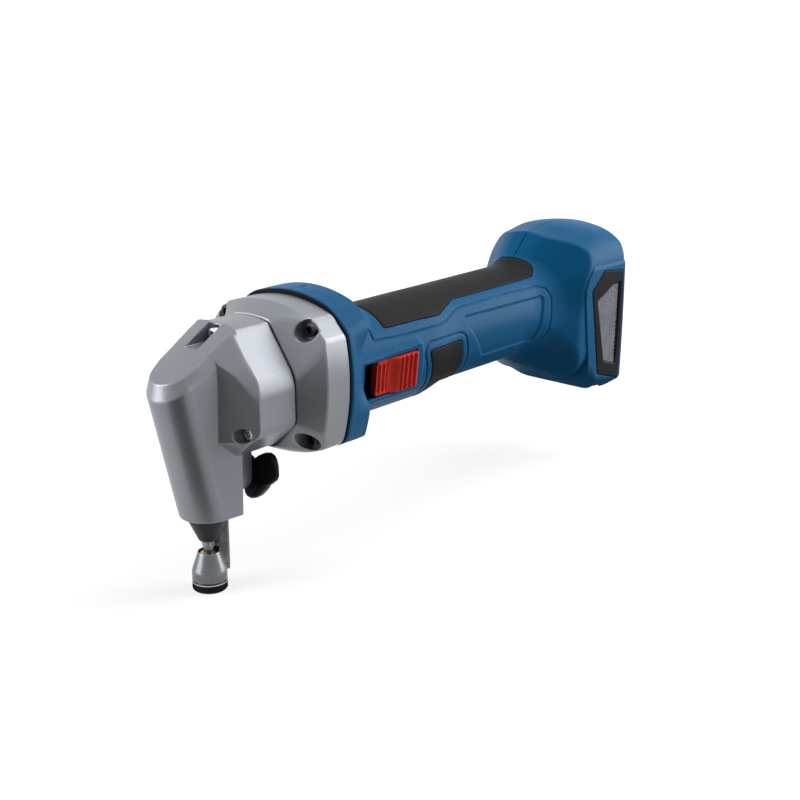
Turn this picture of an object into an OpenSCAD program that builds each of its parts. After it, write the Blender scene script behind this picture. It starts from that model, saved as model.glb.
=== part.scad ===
// Cordless nibbler for cutting sheet metal.
// The punch axis is the Z axis, the die nut stands on Z = 0,
// and the motor, gears and handle lie along +X behind the head.

/* [Cutting head] */
// Diameter of the punch
punch_d = 4.7; // [3.9:0.05:5.7]
// Up and down travel of the ram and punch
stroke = 6; // [5:0.1:7.2]
// Width of the column that guides the ram
column_w = 27; // [26:0.5:34]
// Height of the column's lower face above the nut's face
column_base = 38; // [36:0.5:44]
// How far the brow leans ahead of the column's foot
column_lean = 17; // [8:1:20]
// Diameter of the die holder and of its nut
holder_d = 17; // [16:0.5:20]
// Height of the working face of the die
die_top = 18.5; // [17:0.5:20]
// Height of the clamp lever's pivot
lever_h = 54; // [52:0.5:55]
// Reach of the clamp lever from its pivot
lever_reach = 20; // [16:1:26]

/* [Gear case] */
// Width of the gear case across its flat sides
case_w = 80; // [78:1:96]
// Height of the gear case
case_h = 74; // [72:1:90]
// Width of the head's flange across its flat sides
flange_w = 59; // [56:0.5:70]
// Length of the head's flange
flange_len = 23.7; // [20:0.1:28]
// Length of the gear case
case_len = 25.7; // [25.5:0.1:32]
// Tooth size of the planetary gears
gear_module = 0.9; // [0.75:0.01:1.08]
// Width of the gear teeth
gear_w = 8; // [6:0.5:8]

/* [Handle] */
// Height of the motor and handle axis above the nut's face
axis_h = 93; // [92:0.5:100]
// Diameter of the handle over its soft grip
handle_d = 55; // [45.8:0.1:66]
// Length of the handle between collar and foot
handle_len = 149.5; // [145:0.5:180]
// Length of the collar behind the gear case
collar_len = 14.5; // [14:0.5:20]
// Wall of the plastic housing
wall = 3; // [2.4:0.1:4]
// Thickness of the soft grip
grip_t = 1.5; // [1:0.1:2]

/* [Battery foot] */
// Width of the foot across its sides
foot_w = 74; // [70:1:88]
// Length of the foot from the handle's end to its rear face
foot_len = 80; // [78:1:96]
// Height of the foot's ridge above the handle axis
foot_up = 46; // [44:1:52]
// Depth of the foot's lower end below the handle axis
foot_down = 56; // [50:1:60]
// Width of the battery bay between its side walls
bay_w = 54; // [50:1:58]
// Depth of the battery bay behind the rails
bay_d = 16; // [14:0.5:18]

/* [Switch] */
// Length of the sliding switch button
switch_len = 30; // [26:1:40]
// Height of the sliding switch button
switch_h = 19; // [15:0.5:20]
// Travel of the switch towards the head
switch_travel = 8; // [5:0.5:9]

/* [Fits] */
// Clearance between pieces that move past each other
slack = 0.3; // [0.25:0.05:0.5]
// Radial clearance of shafts and slides in their bores
running = 0.05; // [0.03:0.01:0.08]
// Thinning of each gear tooth flank for backlash
backlash = 0.06; // [0.04:0.01:0.1]

/* [Hidden] */
$fn = 64;
far = 400;

// Stations along the tool, from head to battery
flange_x0 = 7.8;
flange_x1 = flange_x0 + flange_len;
seal_t = 0.4;
case_x0 = flange_x1 + seal_t;
case_x1 = case_x0 + case_len;
case_step_x = case_x0 + case_len * 0.36;
collar_x0 = case_x1 + seal_t;
collar_x1 = collar_x0 + collar_len;
foot_x0 = collar_x1 + handle_len;
foot_x1 = foot_x0 + foot_len;
foot_crown_x = foot_x1 - foot_len / 2;

// Cross-sections
case_mid = axis_h + 4.5;
case_top = case_mid + case_h / 2;
case_bottom = case_mid - case_h / 2;
flat_share = 0.28;
side_swell = 2;
flange_top = case_top - 5;
flange_bottom = axis_h - 26.5;
collar_rise = 3;
column_r = column_w / 2;
column_rear = 11;
boss_x1 = column_rear + 11;
lever_boss_r = 9;
lever_shaft_r = 4;
lever_t = 5.5;
brow_top = case_top - 28;
brow_hw = column_r - 1;
cheek_x = -2.8;
cheek_low = axis_h - 13;
cheek_high = axis_h + 21;
handle_r = handle_d / 2;
handle_bore = handle_r - wall;
foot_bottom = axis_h - foot_down;
foot_neck_x = foot_x0 + 8;
neck_len = 26;

// Ram, punch and crank
punch_r = punch_d / 2;
throw = stroke / 2;
roller_r = 4;
crank_pin_r = 2.5;
ram_r = 7;
ram_depth = 12;
ram_bottom = column_base + stroke + 3;
yoke_hw = column_r - 3;
slot_hw = throw + roller_r + slack;
slot_low = axis_h - slot_hw;
slot_high = axis_h + slot_hw + stroke;
yoke_bridge = 4.5;
yoke_low = slot_low - yoke_bridge;
yoke_high = slot_high + yoke_bridge;
shank_r = column_r - 3;
shank_top = lever_h + 5;
shank_bore = ram_r + 1;
bush_top = yoke_low - stroke - 1.5;
web_x0 = ram_depth / 2 + 1;
web_r = throw + crank_pin_r + 3;

// Die end
nut_h = 4;
nut_washer_t = 0.6;
holder_base = nut_h + nut_washer_t;
holder_r = holder_d / 2;
die_r = punch_r + 1.7;
die_flange_r = holder_r - 2.5;
holder_cone_z = 9.8;
holder_top_r = die_r + 1.2;
sleeve_low = die_top + 3.5;
sleeve_r = punch_r + 0.75;
cone_low = sleeve_low + 3.4;
arm_hw = 5;
arm_x0 = 6.6;

// Planetary gears: the ring gear stands still and the carrier turns the crank
sun_teeth = 12;
planet_teeth = 18;
planet_count = 3;
ring_teeth = sun_teeth + 2 * planet_teeth;
pressure_angle = 25;
addendum = 0.9 * gear_module;
dedendum = 1.2 * gear_module;
flank_points = 4;
planet_orbit = gear_module * (sun_teeth + planet_teeth) / 2;
ring_r = gear_module * ring_teeth / 2 + dedendum + 2.3;
shaft_r = 3;
planet_pin_r = 2.5;
crank_shaft_r = 6;
web_x1 = web_x0 + 5;
bearing_x0 = flange_x1 - 11;
bearing_w = 8;
bearing_r = 14;
case_wall = 4;
carrier_x0 = case_x0 + case_wall + 0.4;
carrier_t = 3;
carrier_gap = 0.7;
carrier_r = planet_orbit + planet_pin_r + 3;
gear_x0 = carrier_x0 + carrier_t + carrier_gap;
gear_x1 = gear_x0 + gear_w;
bridge_x0 = gear_x1 + 1.5;
bridge_r = ring_r + 3;
motor_bearing_r = 9.5;
motor_bearing_w = 6;
motor_bearing_x = case_x1 - motor_bearing_w - 1;

// Motor
fan_x0 = collar_x0 + 2;
fan_w = 7;
fan_r = min(29, handle_r + 3);
collar_bore = fan_r + 2.5;
switch_room = 5;
stator_r = handle_bore - switch_room;
rotor_r = stator_r * 0.56;
stator_x0 = collar_x1 + 2;
stator_len = 38;
stator_x1 = stator_x0 + stator_len;
coil_len = 4;
bracket_x0 = stator_x1 + coil_len + 1;
bracket_len = 9;
rear_bearing_x = bracket_x0 + 1.5;
rib_t = 3;

// Switch, electronics and fasteners inside the handle
switch_tilt = 6;
switch_x0 = collar_x1 + 16.5;
switch_x1 = switch_x0 + switch_len;
switch_flange_y = -sqrt(pow(handle_bore, 2) - pow(switch_h / 2 + 1, 2)) + slack;
switch_flange_t = 1.5;
micro_x0 = switch_x0 + 46;
micro_len = 16;
micro_t = 6;
micro_hh = 5;
module_x0 = bracket_x0 + bracket_len + 13;
module_len = 60;
module_hw = handle_bore / 2;
module_hh = 8;
lead_r = 1.1;
motor_leads_at = [
    [-module_hw + 1.3, axis_h - 5],
    [module_hw - 1.3, axis_h - 5],
    [module_hw - 1.3, axis_h + 5],
];
boss_r = 4;
screw_r = 2;
screw_head_r = 3.6;
screw_head_h = 3.6;
screw_sink = 7;
hex_r = 2;
handle_posts_at = [
    [module_x0 - 7, axis_h + handle_r * 0.4],
    [module_x0 + module_len / 2, axis_h - handle_r * 0.62],
    [module_x0 + module_len + 7, axis_h + handle_r * 0.4],
    [module_x0 + module_len + 7, axis_h - handle_r * 0.62],
];
foot_bosses_at = [[foot_crown_x + 12, axis_h + 28.5], [foot_crown_x + 6, axis_h - 37]];

// Screw places, as side offset and height
head_screw_y = flange_w / 2 - 4.5;
head_screws_at = [
    [0, flange_top - 5],
    [-head_screw_y, axis_h - 12.5],
    [head_screw_y, axis_h - 12.5],
];
case_screws_at = [
    for (side = [-1, 1], z = [case_mid + 27, case_mid - 27])
        [side * (case_w / 2 - 11.5), z]
];
head_screw_x = flange_x0 - 0.5;
head_screw_end = case_x0 + case_wall - slack;
case_screw_x = case_step_x - 0.5;

// Vents and battery interface
vent_x0 = foot_x1 - 35;
vent_x1 = foot_x1 - 2;
vent_z0 = foot_bottom + 9;
vent_z1 = axis_h + 22;
vent_t = 2.4;
vent_outline = [
    [vent_x0 + 12.5, vent_z1], [vent_x1, vent_z1 - 2.5], [vent_x1 - 0.7, vent_z0],
    [vent_x0 + 9.5, vent_z0 + 7], [vent_x0, vent_z1 - 10.4],
];
vent_opening = [
    [vent_x0 + 7, vent_z1 - 17.5], [vent_x0 + 23, vent_z1 - 9.9], [vent_x1 - 4, vent_z1 - 9.7],
    [vent_x1 - 6, vent_z0 + 11], [vent_x0 + 16, vent_z0 + 14.4],
];
mesh_t = 0.8;
bay_top = axis_h + 34;
bay_wall = 2;
bay_floor = foot_x1 - bay_d;
lip_t = 3.5;
lip_w = 4;
blade_count = 5;
blade_pitch = 7;
terminal_hw = blade_pitch * blade_count / 2 + 1;
terminal_z0 = axis_h - 8;
terminal_h = 26;
terminal_back = 6;

// A cylinder along the motor axis between two stations
module along_x(x0, x1, r, r_end = undef) {
    translate([x0, 0, axis_h])
        rotate([0, 90, 0])
            cylinder(h = x1 - x0, r1 = r, r2 = is_undef(r_end) ? r : r_end);
}

// A round tube along the motor axis
module tube_x(x0, x1, r, bore) {
    difference() {
        along_x(x0, x1, r);
        along_x(x0 - 1, x1 + 1, bore);
    }
}

// A cylinder along X at any side offset and height
module peg_x(x0, x1, at, r) {
    translate([x0, at[0], at[1]])
        rotate([0, 90, 0])
            cylinder(h = x1 - x0, r = r);
}

// A prism along X whose outline is drawn as side offset and height
module section_x(x0, x1) {
    translate([x0, 0, 0])
        rotate([90, 0, 90])
            linear_extrude(x1 - x0)
                children();
}

// Places children in the switch's own directions, turned down about the motor axis
module at_switch() {
    translate([0, 0, axis_h])
        rotate([switch_tilt, 0, 0])
            children();
}

// Outline with swelling sides, cut corners and a gently crowned top and bottom
module shield(half_w, bottom, top, cut_w, cut_h, crown) {
    mid = (bottom + top) / 2;
    side = (top - bottom) / 2;
    right = [
        [half_w * flat_share, -side],
        [half_w - cut_w, crown - side],
        [half_w - side_swell, cut_h - side],
        [half_w, -side * flat_share],
        [half_w, side * flat_share],
        [half_w - side_swell, side - cut_h],
        [half_w - cut_w, side - crown],
        [half_w * flat_share, side],
    ];
    left = [for (i = [len(right) - 1 : -1 : 0]) [-right[i][0], right[i][1]]];
    translate([0, mid])
        polygon(concat(right, left));
}

module case_outline(inset = 0) {
    shield(case_w / 2 - inset, case_bottom + inset, case_top - inset, 11, 13, 4);
}

module flange_outline(inset = 0) {
    half_w = flange_w / 2 - inset;
    shield(half_w, flange_bottom + inset, flange_top - inset, half_w * 0.56, 20, 2.3);
}

module collar_outline() {
    shield(case_w / 2, case_bottom, case_top + collar_rise, 11, 15, 6);
}

// Involute tooth shapes
function involute(angle) = tan(angle) * 180 / PI - angle;
function pitch_r(teeth) = gear_module * teeth / 2;
function base_r(teeth) = pitch_r(teeth) * cos(pressure_angle);
function roll(r, teeth) = involute(acos(min(1, base_r(teeth) / r)));
function thinning(r) = backlash / r * 180 / PI;
function outer_half(r, teeth) =
    90 / teeth + involute(pressure_angle) - roll(r, teeth) - thinning(r);
function inner_half(r, teeth) =
    90 / teeth - involute(pressure_angle) + roll(r, teeth) - thinning(r);
function polar(r, angle) = [r * cos(angle), r * sin(angle)];
function flank_r(from_r, to_r, i) = from_r + (to_r - from_r) * i / (flank_points - 1);

// Toothed outline of a gear; phase turns it by parts of one tooth
module gear_outline(teeth, phase = 0) {
    root = pitch_r(teeth) - dedendum;
    start = max(root, base_r(teeth));
    tip = pitch_r(teeth) + addendum;
    polygon([
        for (k = [0 : teeth - 1])
            let (mid = 360 * (k + phase) / teeth)
                each concat(
                    [polar(root, mid - outer_half(start, teeth))],
                    [for (i = [0 : flank_points - 1])
                        let (r = flank_r(start, tip, i)) polar(r, mid - outer_half(r, teeth))],
                    [for (i = [flank_points - 1 : -1 : 0])
                        let (r = flank_r(start, tip, i)) polar(r, mid + outer_half(r, teeth))],
                    [polar(root, mid + outer_half(start, teeth))])
    ]);
}

// Outline of the space inside a ring gear
module ring_space_outline(teeth) {
    root = pitch_r(teeth) + dedendum;
    tip = pitch_r(teeth) - addendum;
    polygon([
        for (k = [0 : teeth - 1])
            let (mid = 360 * k / teeth)
                each concat(
                    [for (i = [0 : flank_points - 1])
                        let (r = flank_r(root, tip, i)) polar(r, mid - inner_half(r, teeth))],
                    [for (i = [flank_points - 1 : -1 : 0])
                        let (r = flank_r(root, tip, i)) polar(r, mid + inner_half(r, teeth))])
    ]);
}

// Places children with their own Z along the motor axis
module on_axis(x0) {
    translate([x0, 0, axis_h])
        rotate([0, 90, 0])
            children();
}

// Places children on planet number i's own axis
module at_planet(i, x0) {
    on_axis(x0)
        rotate(360 * i / planet_count)
            translate([planet_orbit, 0, 0])
                children();
}

// A cap screw along +X with its head's front face at x0
module cap_screw(x0, at, len) {
    difference() {
        union() {
            peg_x(x0, x0 + screw_head_h, at, screw_head_r);
            peg_x(x0 + screw_head_h, x0 + screw_head_h + len, at, screw_r);
        }
        translate([x0 - 0.1, at[0], at[1]])
            rotate([0, 90, 0])
                cylinder(h = 2.1, r = hex_r, $fn = 6);
    }
}

// Ball bearing with both rings and a closed middle, on the motor axis
module ball_bearing(x0, w, r, bore) {
    groove = (r - bore) * 0.42;
    mid = (r + bore) / 2;
    difference() {
        tube_x(x0, x0 + w, r, bore + running);
        tube_x(x0 - 1, x0 + 0.6, mid + groove / 2, mid - groove / 2);
        tube_x(x0 + w - 0.6, x0 + w + 1, mid + groove / 2, mid - groove / 2);
    }
}

// Deep pocket for a screw head, open to the front
module screw_pocket(x1, at) {
    peg_x(x1 - far, x1, at, screw_head_r + 0.9);
}

// Solid form of the head before it is bored
module head_form() {
    section_x(flange_x0, flange_x1)
        flange_outline();
    hull() {
        translate([0, 0, column_base])
            cylinder(h = 1, r = column_r, $fn = 32);
        translate([-column_lean, 0, brow_top - 1])
            cylinder(h = 1, r = column_r, $fn = 32);
        translate([0, -column_r, column_base])
            cube([column_rear, column_w, cheek_high - column_base]);
        translate([flange_x0 - 1, -brow_hw, cheek_high])
            cube([2, 2 * brow_hw, flange_top - 2 - cheek_high]);
    }
    hull() {
        section_x(flange_x0, flange_x0 + 1)
            flange_outline();
        translate([cheek_x, -column_r, cheek_low])
            cube([1, column_w, cheek_high - cheek_low]);
    }
    section_x(column_rear - 1, boss_x1)
        lever_boss_outline();
}

// U-shaped outline of the boss that carries the clamp lever
module lever_boss_outline() {
    translate([0, lever_h])
        circle(lever_boss_r);
    translate([-lever_boss_r, lever_h])
        square([2 * lever_boss_r, flange_bottom + 4 - lever_h]);
}

module head_casting() {
    color([0.52, 0.54, 0.57])
        difference() {
            head_form();
            translate([0, 0, column_base - 1])
                cylinder(h = shank_top + 0.5 - column_base + 1, r = shank_r + running);
            cylinder(h = bush_top, r = shank_r - 0.5);
            translate([-ram_depth / 2 - 1, -yoke_hw - 0.5, bush_top])
                cube([ram_depth + 2, 2 * yoke_hw + 1, yoke_high + 1 - bush_top]);
            along_x(ram_depth / 2, web_x1 + slack, web_r + 0.8);
            along_x(web_x1, bearing_x0 + 1, crank_shaft_r + 1);
            along_x(bearing_x0, flange_x1 + 1, bearing_r);
            peg_x(column_rear - 3, boss_x1 + 1, [0, lever_h], lever_shaft_r + running);
            for (at = head_screws_at) {
                screw_pocket(head_screw_x + screw_head_h, at);
                peg_x(head_screw_x, flange_x1 + 1, at, screw_r + 0.2);
            }
        }
}

module head_gasket() {
    color([0.06, 0.06, 0.07])
        difference() {
            section_x(flange_x1, case_x0)
                flange_outline(0.5);
            along_x(flange_x1 - 1, case_x0 + 1, bearing_r);
            for (at = head_screws_at)
                peg_x(flange_x1 - 1, case_x0 + 1, at, screw_r + 0.2);
        }
}

module head_screws() {
    color([0.72, 0.73, 0.75])
        for (at = head_screws_at)
            cap_screw(head_screw_x, at, head_screw_end - head_screw_x - screw_head_h);
}

module gear_case() {
    color([0.5, 0.52, 0.55])
        difference() {
            union() {
                hull() {
                    section_x(case_x0, case_x0 + 1)
                        flange_outline();
                    section_x(case_step_x, case_step_x + 1)
                        case_outline();
                }
                section_x(case_step_x, case_x1)
                    case_outline();
            }
            along_x(case_x0 - 1, case_x1, crank_shaft_r + 3);
            along_x(case_x0 + case_wall, case_x1, ring_r);
            along_x(bridge_x0, case_x1 + 1, bridge_r);
            for (at = head_screws_at)
                peg_x(case_x0 - 1, head_screw_end, at, screw_r);
            for (at = case_screws_at) {
                peg_x(case_x0 - 1, case_screw_x + screw_head_h, at, screw_head_r + 0.9);
                peg_x(case_screw_x, case_x1 + 1, at, screw_r + 0.2);
            }
        }
}

module case_gasket() {
    color([0.06, 0.06, 0.07])
        difference() {
            section_x(case_x1, collar_x0)
                case_outline(1);
            along_x(case_x1 - 1, collar_x0 + 1, bridge_r);
            for (at = case_screws_at)
                peg_x(case_x1 - 1, collar_x0 + 1, at, screw_r + 0.2);
        }
}

module case_screws() {
    color([0.3, 0.3, 0.32])
        for (at = case_screws_at)
            cap_screw(case_screw_x, at, collar_x0 + 9 - case_screw_x - screw_head_h);
}

// Flared foot; inset shrinks it all round to make its hollow
module foot_form(inset) {
    hull() {
        along_x(foot_neck_x - 1, foot_neck_x, handle_r - inset, $fn = 32);
        foot_section(foot_x0 + 15, inset,
            [[2, 46], [10, 37], [20, 19.5], [26.5, 0], [18, -20], [8, -29]]);
        foot_section(foot_x0 + 35, inset,
            [[13.5, 43.4], [20, 38.1], [30, 28], [35.2, 12], [35.2, -16], [14, -39]]);
        foot_section(foot_x0 + 47.5, inset,
            [[0.5, 47], [14, 45], [29.5, 35], [34, 31.5], [36.6, 26], [36.4, -34], [22, -46]]);
        foot_section(foot_x1 - 18, inset,
            [[0.5, 47.8], [18, 45.5], [30, 39.5], [35, 33], [37, 26], [37, -40], [23, -56]]);
        foot_section(foot_x1 - inset, inset,
            [[0.5, 44.4], [18, 42.4], [29, 38.4], [34.5, 34.5], [37, 28], [36, -47], [22, -56]]);
    }
}

// A thin slice of the foot. Its right half is listed from the top, as side offset and height
// above the axis of a foot 74 wide that stands 46 above the axis and 56 below it.
module foot_section(x, inset, right) {
    sized = [for (p = right) [p[0] * foot_w / 74, p[1] * (p[1] > 0 ? foot_up / 46 : foot_down / 56)]];
    inner = [for (p = sized) [max(p[0] - inset, 0.5), p[1] - sign(p[1]) * inset]];
    section_x(x - 1, x)
        translate([0, axis_h])
            polygon(concat(inner, [for (i = [len(inner) - 1 : -1 : 0]) [-inner[i][0], inner[i][1]]]));
}

// Upper slope from the collar down to the handle
module neck_form() {
    hull() {
        section_x(collar_x1 - 1, collar_x1)
            polygon([
                [-26, axis_h], [26, axis_h], [30, axis_h + 33], [26, axis_h + 37], [10, axis_h + 41.5],
                [-10, axis_h + 41.5], [-26, axis_h + 37], [-30, axis_h + 33],
            ]);
        along_x(collar_x1 + neck_len - 2, collar_x1 + neck_len - 1, handle_r, $fn = 32);
    }
}

// Raised frame round the switch
module switch_surround() {
    at_switch()
        translate([collar_x1 - 1, -handle_r - 2, -switch_h / 2 - 3])
            cube([switch_x1 - collar_x1 + 5, 12, switch_h + 6]);
}

// Rings that hold the motor, left open on the switch side
module motor_ribs() {
    difference() {
        for (x = [stator_x0 + 4, stator_x1 - 6, bracket_x0 + 3])
            tube_x(x, x + rib_t, handle_bore + 0.2, stator_r);
        at_switch()
            translate([0, -handle_r, -switch_h / 2 - 2])
                cube([far, handle_r, switch_h + 4]);
    }
}

// Posts along Y that take the housing screws
module screw_posts() {
    for (at = handle_posts_at)
        intersection() {
            translate([at[0], -far / 2, at[1]])
                rotate([-90, 0, 0])
                    cylinder(h = far, r = boss_r);
            along_x(collar_x1, foot_x0, handle_r - 1);
        }
    for (at = foot_bosses_at)
        translate([at[0], 1 - foot_w / 2 + wall, at[1]])
            rotate([-90, 0, 0])
                cylinder(h = foot_w - 2 * wall - 2, r = boss_r);
}

// Shelves that carry the control module
module module_shelves() {
    for (x = [module_x0 + 22, module_x0 + module_len - 9], side = [-1, 1])
        intersection() {
            translate([x, side > 0 ? module_hw : -handle_r, axis_h - module_hh + 1])
                cube([rib_t, handle_r - module_hw, 2 * module_hh - 2]);
            along_x(collar_x1, foot_x0, handle_r - 1);
        }
}

// Ledge under the micro switch
module switch_ledge() {
    intersection() {
        at_switch()
            translate([micro_x0, -handle_r, -micro_hh - 3])
                cube([micro_len, handle_r + switch_flange_y + 2 + micro_t, 3]);
        along_x(collar_x1, foot_x0, handle_r - 1);
    }
}

// Trough that the battery slides up into
module battery_trough() {
    translate([bay_floor - wall, -bay_w / 2 - bay_wall, foot_bottom + 1])
        cube([bay_d + wall - 1, bay_w + 2 * bay_wall, bay_top + bay_wall - foot_bottom - 1]);
}

// Space that is cut from the trough, with the rails left standing at its mouth
module battery_bay() {
    translate([bay_floor, -bay_w / 2, foot_bottom - 5])
        cube([bay_d - lip_t, bay_w, bay_top - foot_bottom + 5]);
    translate([bay_floor, -bay_w / 2 + lip_w, foot_bottom - 5])
        cube([bay_d + 5, bay_w - 2 * lip_w, bay_top - foot_bottom + 5]);
}

// Hollow of the terminal block's seat in the bay's floor
module terminal_seat() {
    translate([bay_floor - wall - 1, -terminal_hw, terminal_z0])
        cube([wall + 2, 2 * terminal_hw, terminal_h]);
}

// Side outline of the soft grip, drawn as station and height
module grip_side() {
    low = axis_h + handle_r * 0.64;
    high = axis_h + handle_r * 0.8;
    polygon([
        [collar_x1 + 26, low], [collar_x1 + 76, low], [collar_x1 + 92, high],
        [foot_x0 + 4, high], [foot_x0 + 4, far], [collar_x1 + 26, far],
    ]);
}

// Block whose sides follow the soft grip's outline
module grip_region() {
    translate([0, far / 2, 0])
        rotate([90, 0, 0])
            linear_extrude(far)
                grip_side();
}

// Block that bounds the finger pad under the handle
module pad_region() {
    pad_x0 = collar_x1 + 60;
    translate([0, far / 2, 0])
        rotate([90, 0, 0])
            linear_extrude(far)
                polygon([
                    [pad_x0, axis_h + 2.5], [pad_x0 + 24, axis_h + 2.5],
                    [pad_x0 + 30, 0], [pad_x0 + 10, 0],
                ]);
}

// Ring of grip thickness around the handle
module grip_ring() {
    tube_x(collar_x1 + 10, foot_neck_x - 2, handle_r, handle_r - grip_t);
}

// A plate along Y from y0, whose outline is drawn as station and height
module side_plate(y0, t) {
    translate([0, y0 + t, 0])
        rotate([90, 0, 0])
            linear_extrude(t)
                children();
}

// Block that a vent frame fills, flush with the foot's side
module vent_panel(side) {
    side_plate(side > 0 ? foot_w / 2 - vent_t : -foot_w / 2, vent_t)
        polygon(vent_outline);
}

// Both halves of the housing as one shell
module housing_shell() {
    difference() {
        union() {
            difference() {
                union() {
                    section_x(collar_x0, collar_x1)
                        collar_outline();
                    along_x(collar_x1, collar_x1 + 12, collar_bore + wall, handle_r);
                    neck_form();
                    switch_surround();
                    along_x(collar_x1, foot_neck_x, handle_r);
                    foot_form(0);
                }
                along_x(collar_x0 - 1, collar_x1 - 2, collar_bore);
                along_x(collar_x1 - 3, foot_neck_x + 1, handle_bore);
                foot_form(wall);
            }
            motor_ribs();
            screw_posts();
            module_shelves();
            switch_ledge();
            battery_trough();
        }
        battery_bay();
        terminal_seat();
        intersection() {
            grip_ring();
            union() {
                grip_region();
                pad_region();
            }
        }
        for (side = [-1, 1])
            vent_panel(side);
        vent_ways();
        for (at = case_screws_at)
            peg_x(collar_x0 - 1, collar_x0 + 9.5, at, screw_r);
        switch_window();
        housing_screw_holes();
    }
}

// Air ways behind the vent panels
module vent_ways() {
    for (side = [-1, 1])
        side_plate(side > 0 ? bay_w / 2 + 3 : -foot_w / 2, foot_w / 2 - bay_w / 2 - 3)
            polygon(vent_opening);
}

// Slot for the switch button and room for its travel
module switch_window() {
    at_switch()
        translate([switch_x0 - switch_travel - slack, -far, -switch_h / 2 - slack])
            cube([switch_len + switch_travel + 2 * slack, far - stator_r, switch_h + 2 * slack]);
}

function housing_screw_places() = concat(
    [for (at = handle_posts_at) [at[0], at[1], sqrt(pow(handle_r, 2) - pow(at[1] - axis_h, 2))]],
    [for (at = foot_bosses_at) [at[0], at[1], foot_w / 2 - 6]]);

module housing_screw_holes() {
    for (p = housing_screw_places()) {
        translate([p[0], p[2] - screw_sink, p[1]])
            rotate([-90, 0, 0])
                cylinder(h = far, r = screw_head_r + slack);
        translate([p[0], -10.5, p[1]])
            rotate([-90, 0, 0])
                cylinder(h = far, r = screw_r);
    }
}

module housing_left() {
    color([0.03, 0.28, 0.44])
        intersection() {
            housing_shell();
            translate([0, -far, -far / 2])
                cube([far, far, far]);
        }
}

module housing_right() {
    color([0.03, 0.28, 0.44])
        intersection() {
            housing_shell();
            translate([0, 0, -far / 2])
                cube([far, far, far]);
        }
}

module housing_screws() {
    color([0.25, 0.25, 0.27])
        for (p = housing_screw_places())
            difference() {
                union() {
                    translate([p[0], -10, p[1]])
                        rotate([-90, 0, 0])
                            cylinder(h = p[2] - screw_sink + 10, r = screw_r);
                    translate([p[0], p[2] - screw_sink, p[1]])
                        rotate([-90, 0, 0])
                            cylinder(h = screw_head_h, r = screw_head_r);
                }
                translate([p[0], p[2] - screw_sink + screw_head_h - 2, p[1]])
                    rotate([-90, 0, 0])
                        cylinder(h = 3, r = hex_r, $fn = 6);
            }
}

module top_grip() {
    color([0.11, 0.11, 0.12])
        intersection() {
            grip_ring();
            grip_region();
        }
}

module finger_pad() {
    color([0.11, 0.11, 0.12])
        intersection() {
            grip_ring();
            pad_region();
        }
}

module vent_frame(side) {
    color([0.08, 0.08, 0.09])
        difference() {
            vent_panel(side);
            side_plate(-far / 2, far)
                polygon(vent_opening);
        }
}

module vent_mesh(side) {
    y = side > 0 ? foot_w / 2 - 1.6 : -foot_w / 2 + 1.6 - mesh_t;
    color([0.5, 0.52, 0.55])
        side_plate(y, mesh_t)
            polygon(vent_opening);
}

module vent_frame_left() {
    vent_frame(-1);
}

module vent_frame_right() {
    vent_frame(1);
}

module vent_mesh_left() {
    vent_mesh(-1);
}

module vent_mesh_right() {
    vent_mesh(1);
}

module terminal_block() {
    color([0.07, 0.07, 0.08])
        difference() {
            union() {
                translate([bay_floor - wall - terminal_back, -terminal_hw, terminal_z0])
                    cube([wall + terminal_back + 5, 2 * terminal_hw, terminal_h]);
                translate([bay_floor - wall - terminal_back, -terminal_hw - 3, terminal_z0 - 3])
                    cube([terminal_back, 2 * terminal_hw + 6, terminal_h + 6]);
            }
            for (i = [0 : blade_count - 1])
                translate([bay_floor + 1.5, blade_y(i) - 0.5, terminal_z0 - 1])
                    cube([2.4, 1, 19]);
        }
}

function blade_y(i) = (i - (blade_count - 1) / 2) * blade_pitch;

module terminal_blades() {
    color([0.8, 0.66, 0.35])
        for (i = [0 : blade_count - 1])
            translate([bay_floor + 1.5, blade_y(i) - 0.5, terminal_z0 - 14])
                cube([2.4, 1, 32]);
}

module control_module() {
    color([0.09, 0.1, 0.1])
        difference() {
            translate([module_x0, -module_hw, axis_h - module_hh])
                cube([module_len, 2 * module_hw, 2 * module_hh]);
            translate([module_x0 + 2, -module_hw + 2, axis_h + module_hh - 3])
                cube([module_len - 4, 2 * module_hw - 4, 4]);
        }
}

module micro_switch() {
    color([0.12, 0.12, 0.13])
        at_switch()
            translate([micro_x0, switch_flange_y + 2, -micro_hh])
                cube([micro_len, micro_t, 2 * micro_hh]);
}

module switch_button() {
    color([0.84, 0.21, 0.17])
        at_switch() {
            translate([switch_x0, -handle_r - 3, -switch_h / 2])
                cube([switch_len, handle_r + 3 + switch_flange_y + switch_flange_t, switch_h]);
            translate([switch_x0 - 2, switch_flange_y, -switch_h / 2 - 1])
                cube([switch_len + 4, switch_flange_t, switch_h + 2]);
        }
}

module switch_rod() {
    color([0.75, 0.76, 0.78])
        at_switch()
            translate([switch_x1 + 2, switch_flange_y, -3])
                cube([24, switch_flange_t, 6]);
}

module stator() {
    color([0.45, 0.45, 0.47])
        tube_x(stator_x0, stator_x1, stator_r, stator_r * 0.82);
}

module stator_coils() {
    color([0.72, 0.4, 0.2])
        tube_x(stator_x0 - coil_len, stator_x1 + coil_len, stator_r * 0.82, rotor_r + 0.5);
}

module rotor_shaft() {
    color([0.7, 0.71, 0.73])
        along_x(gear_x0, rear_bearing_x + motor_bearing_w + 0.5, shaft_r);
}

module rotor_magnets() {
    color([0.35, 0.36, 0.38])
        tube_x(stator_x0, stator_x1, rotor_r, shaft_r);
}

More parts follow.
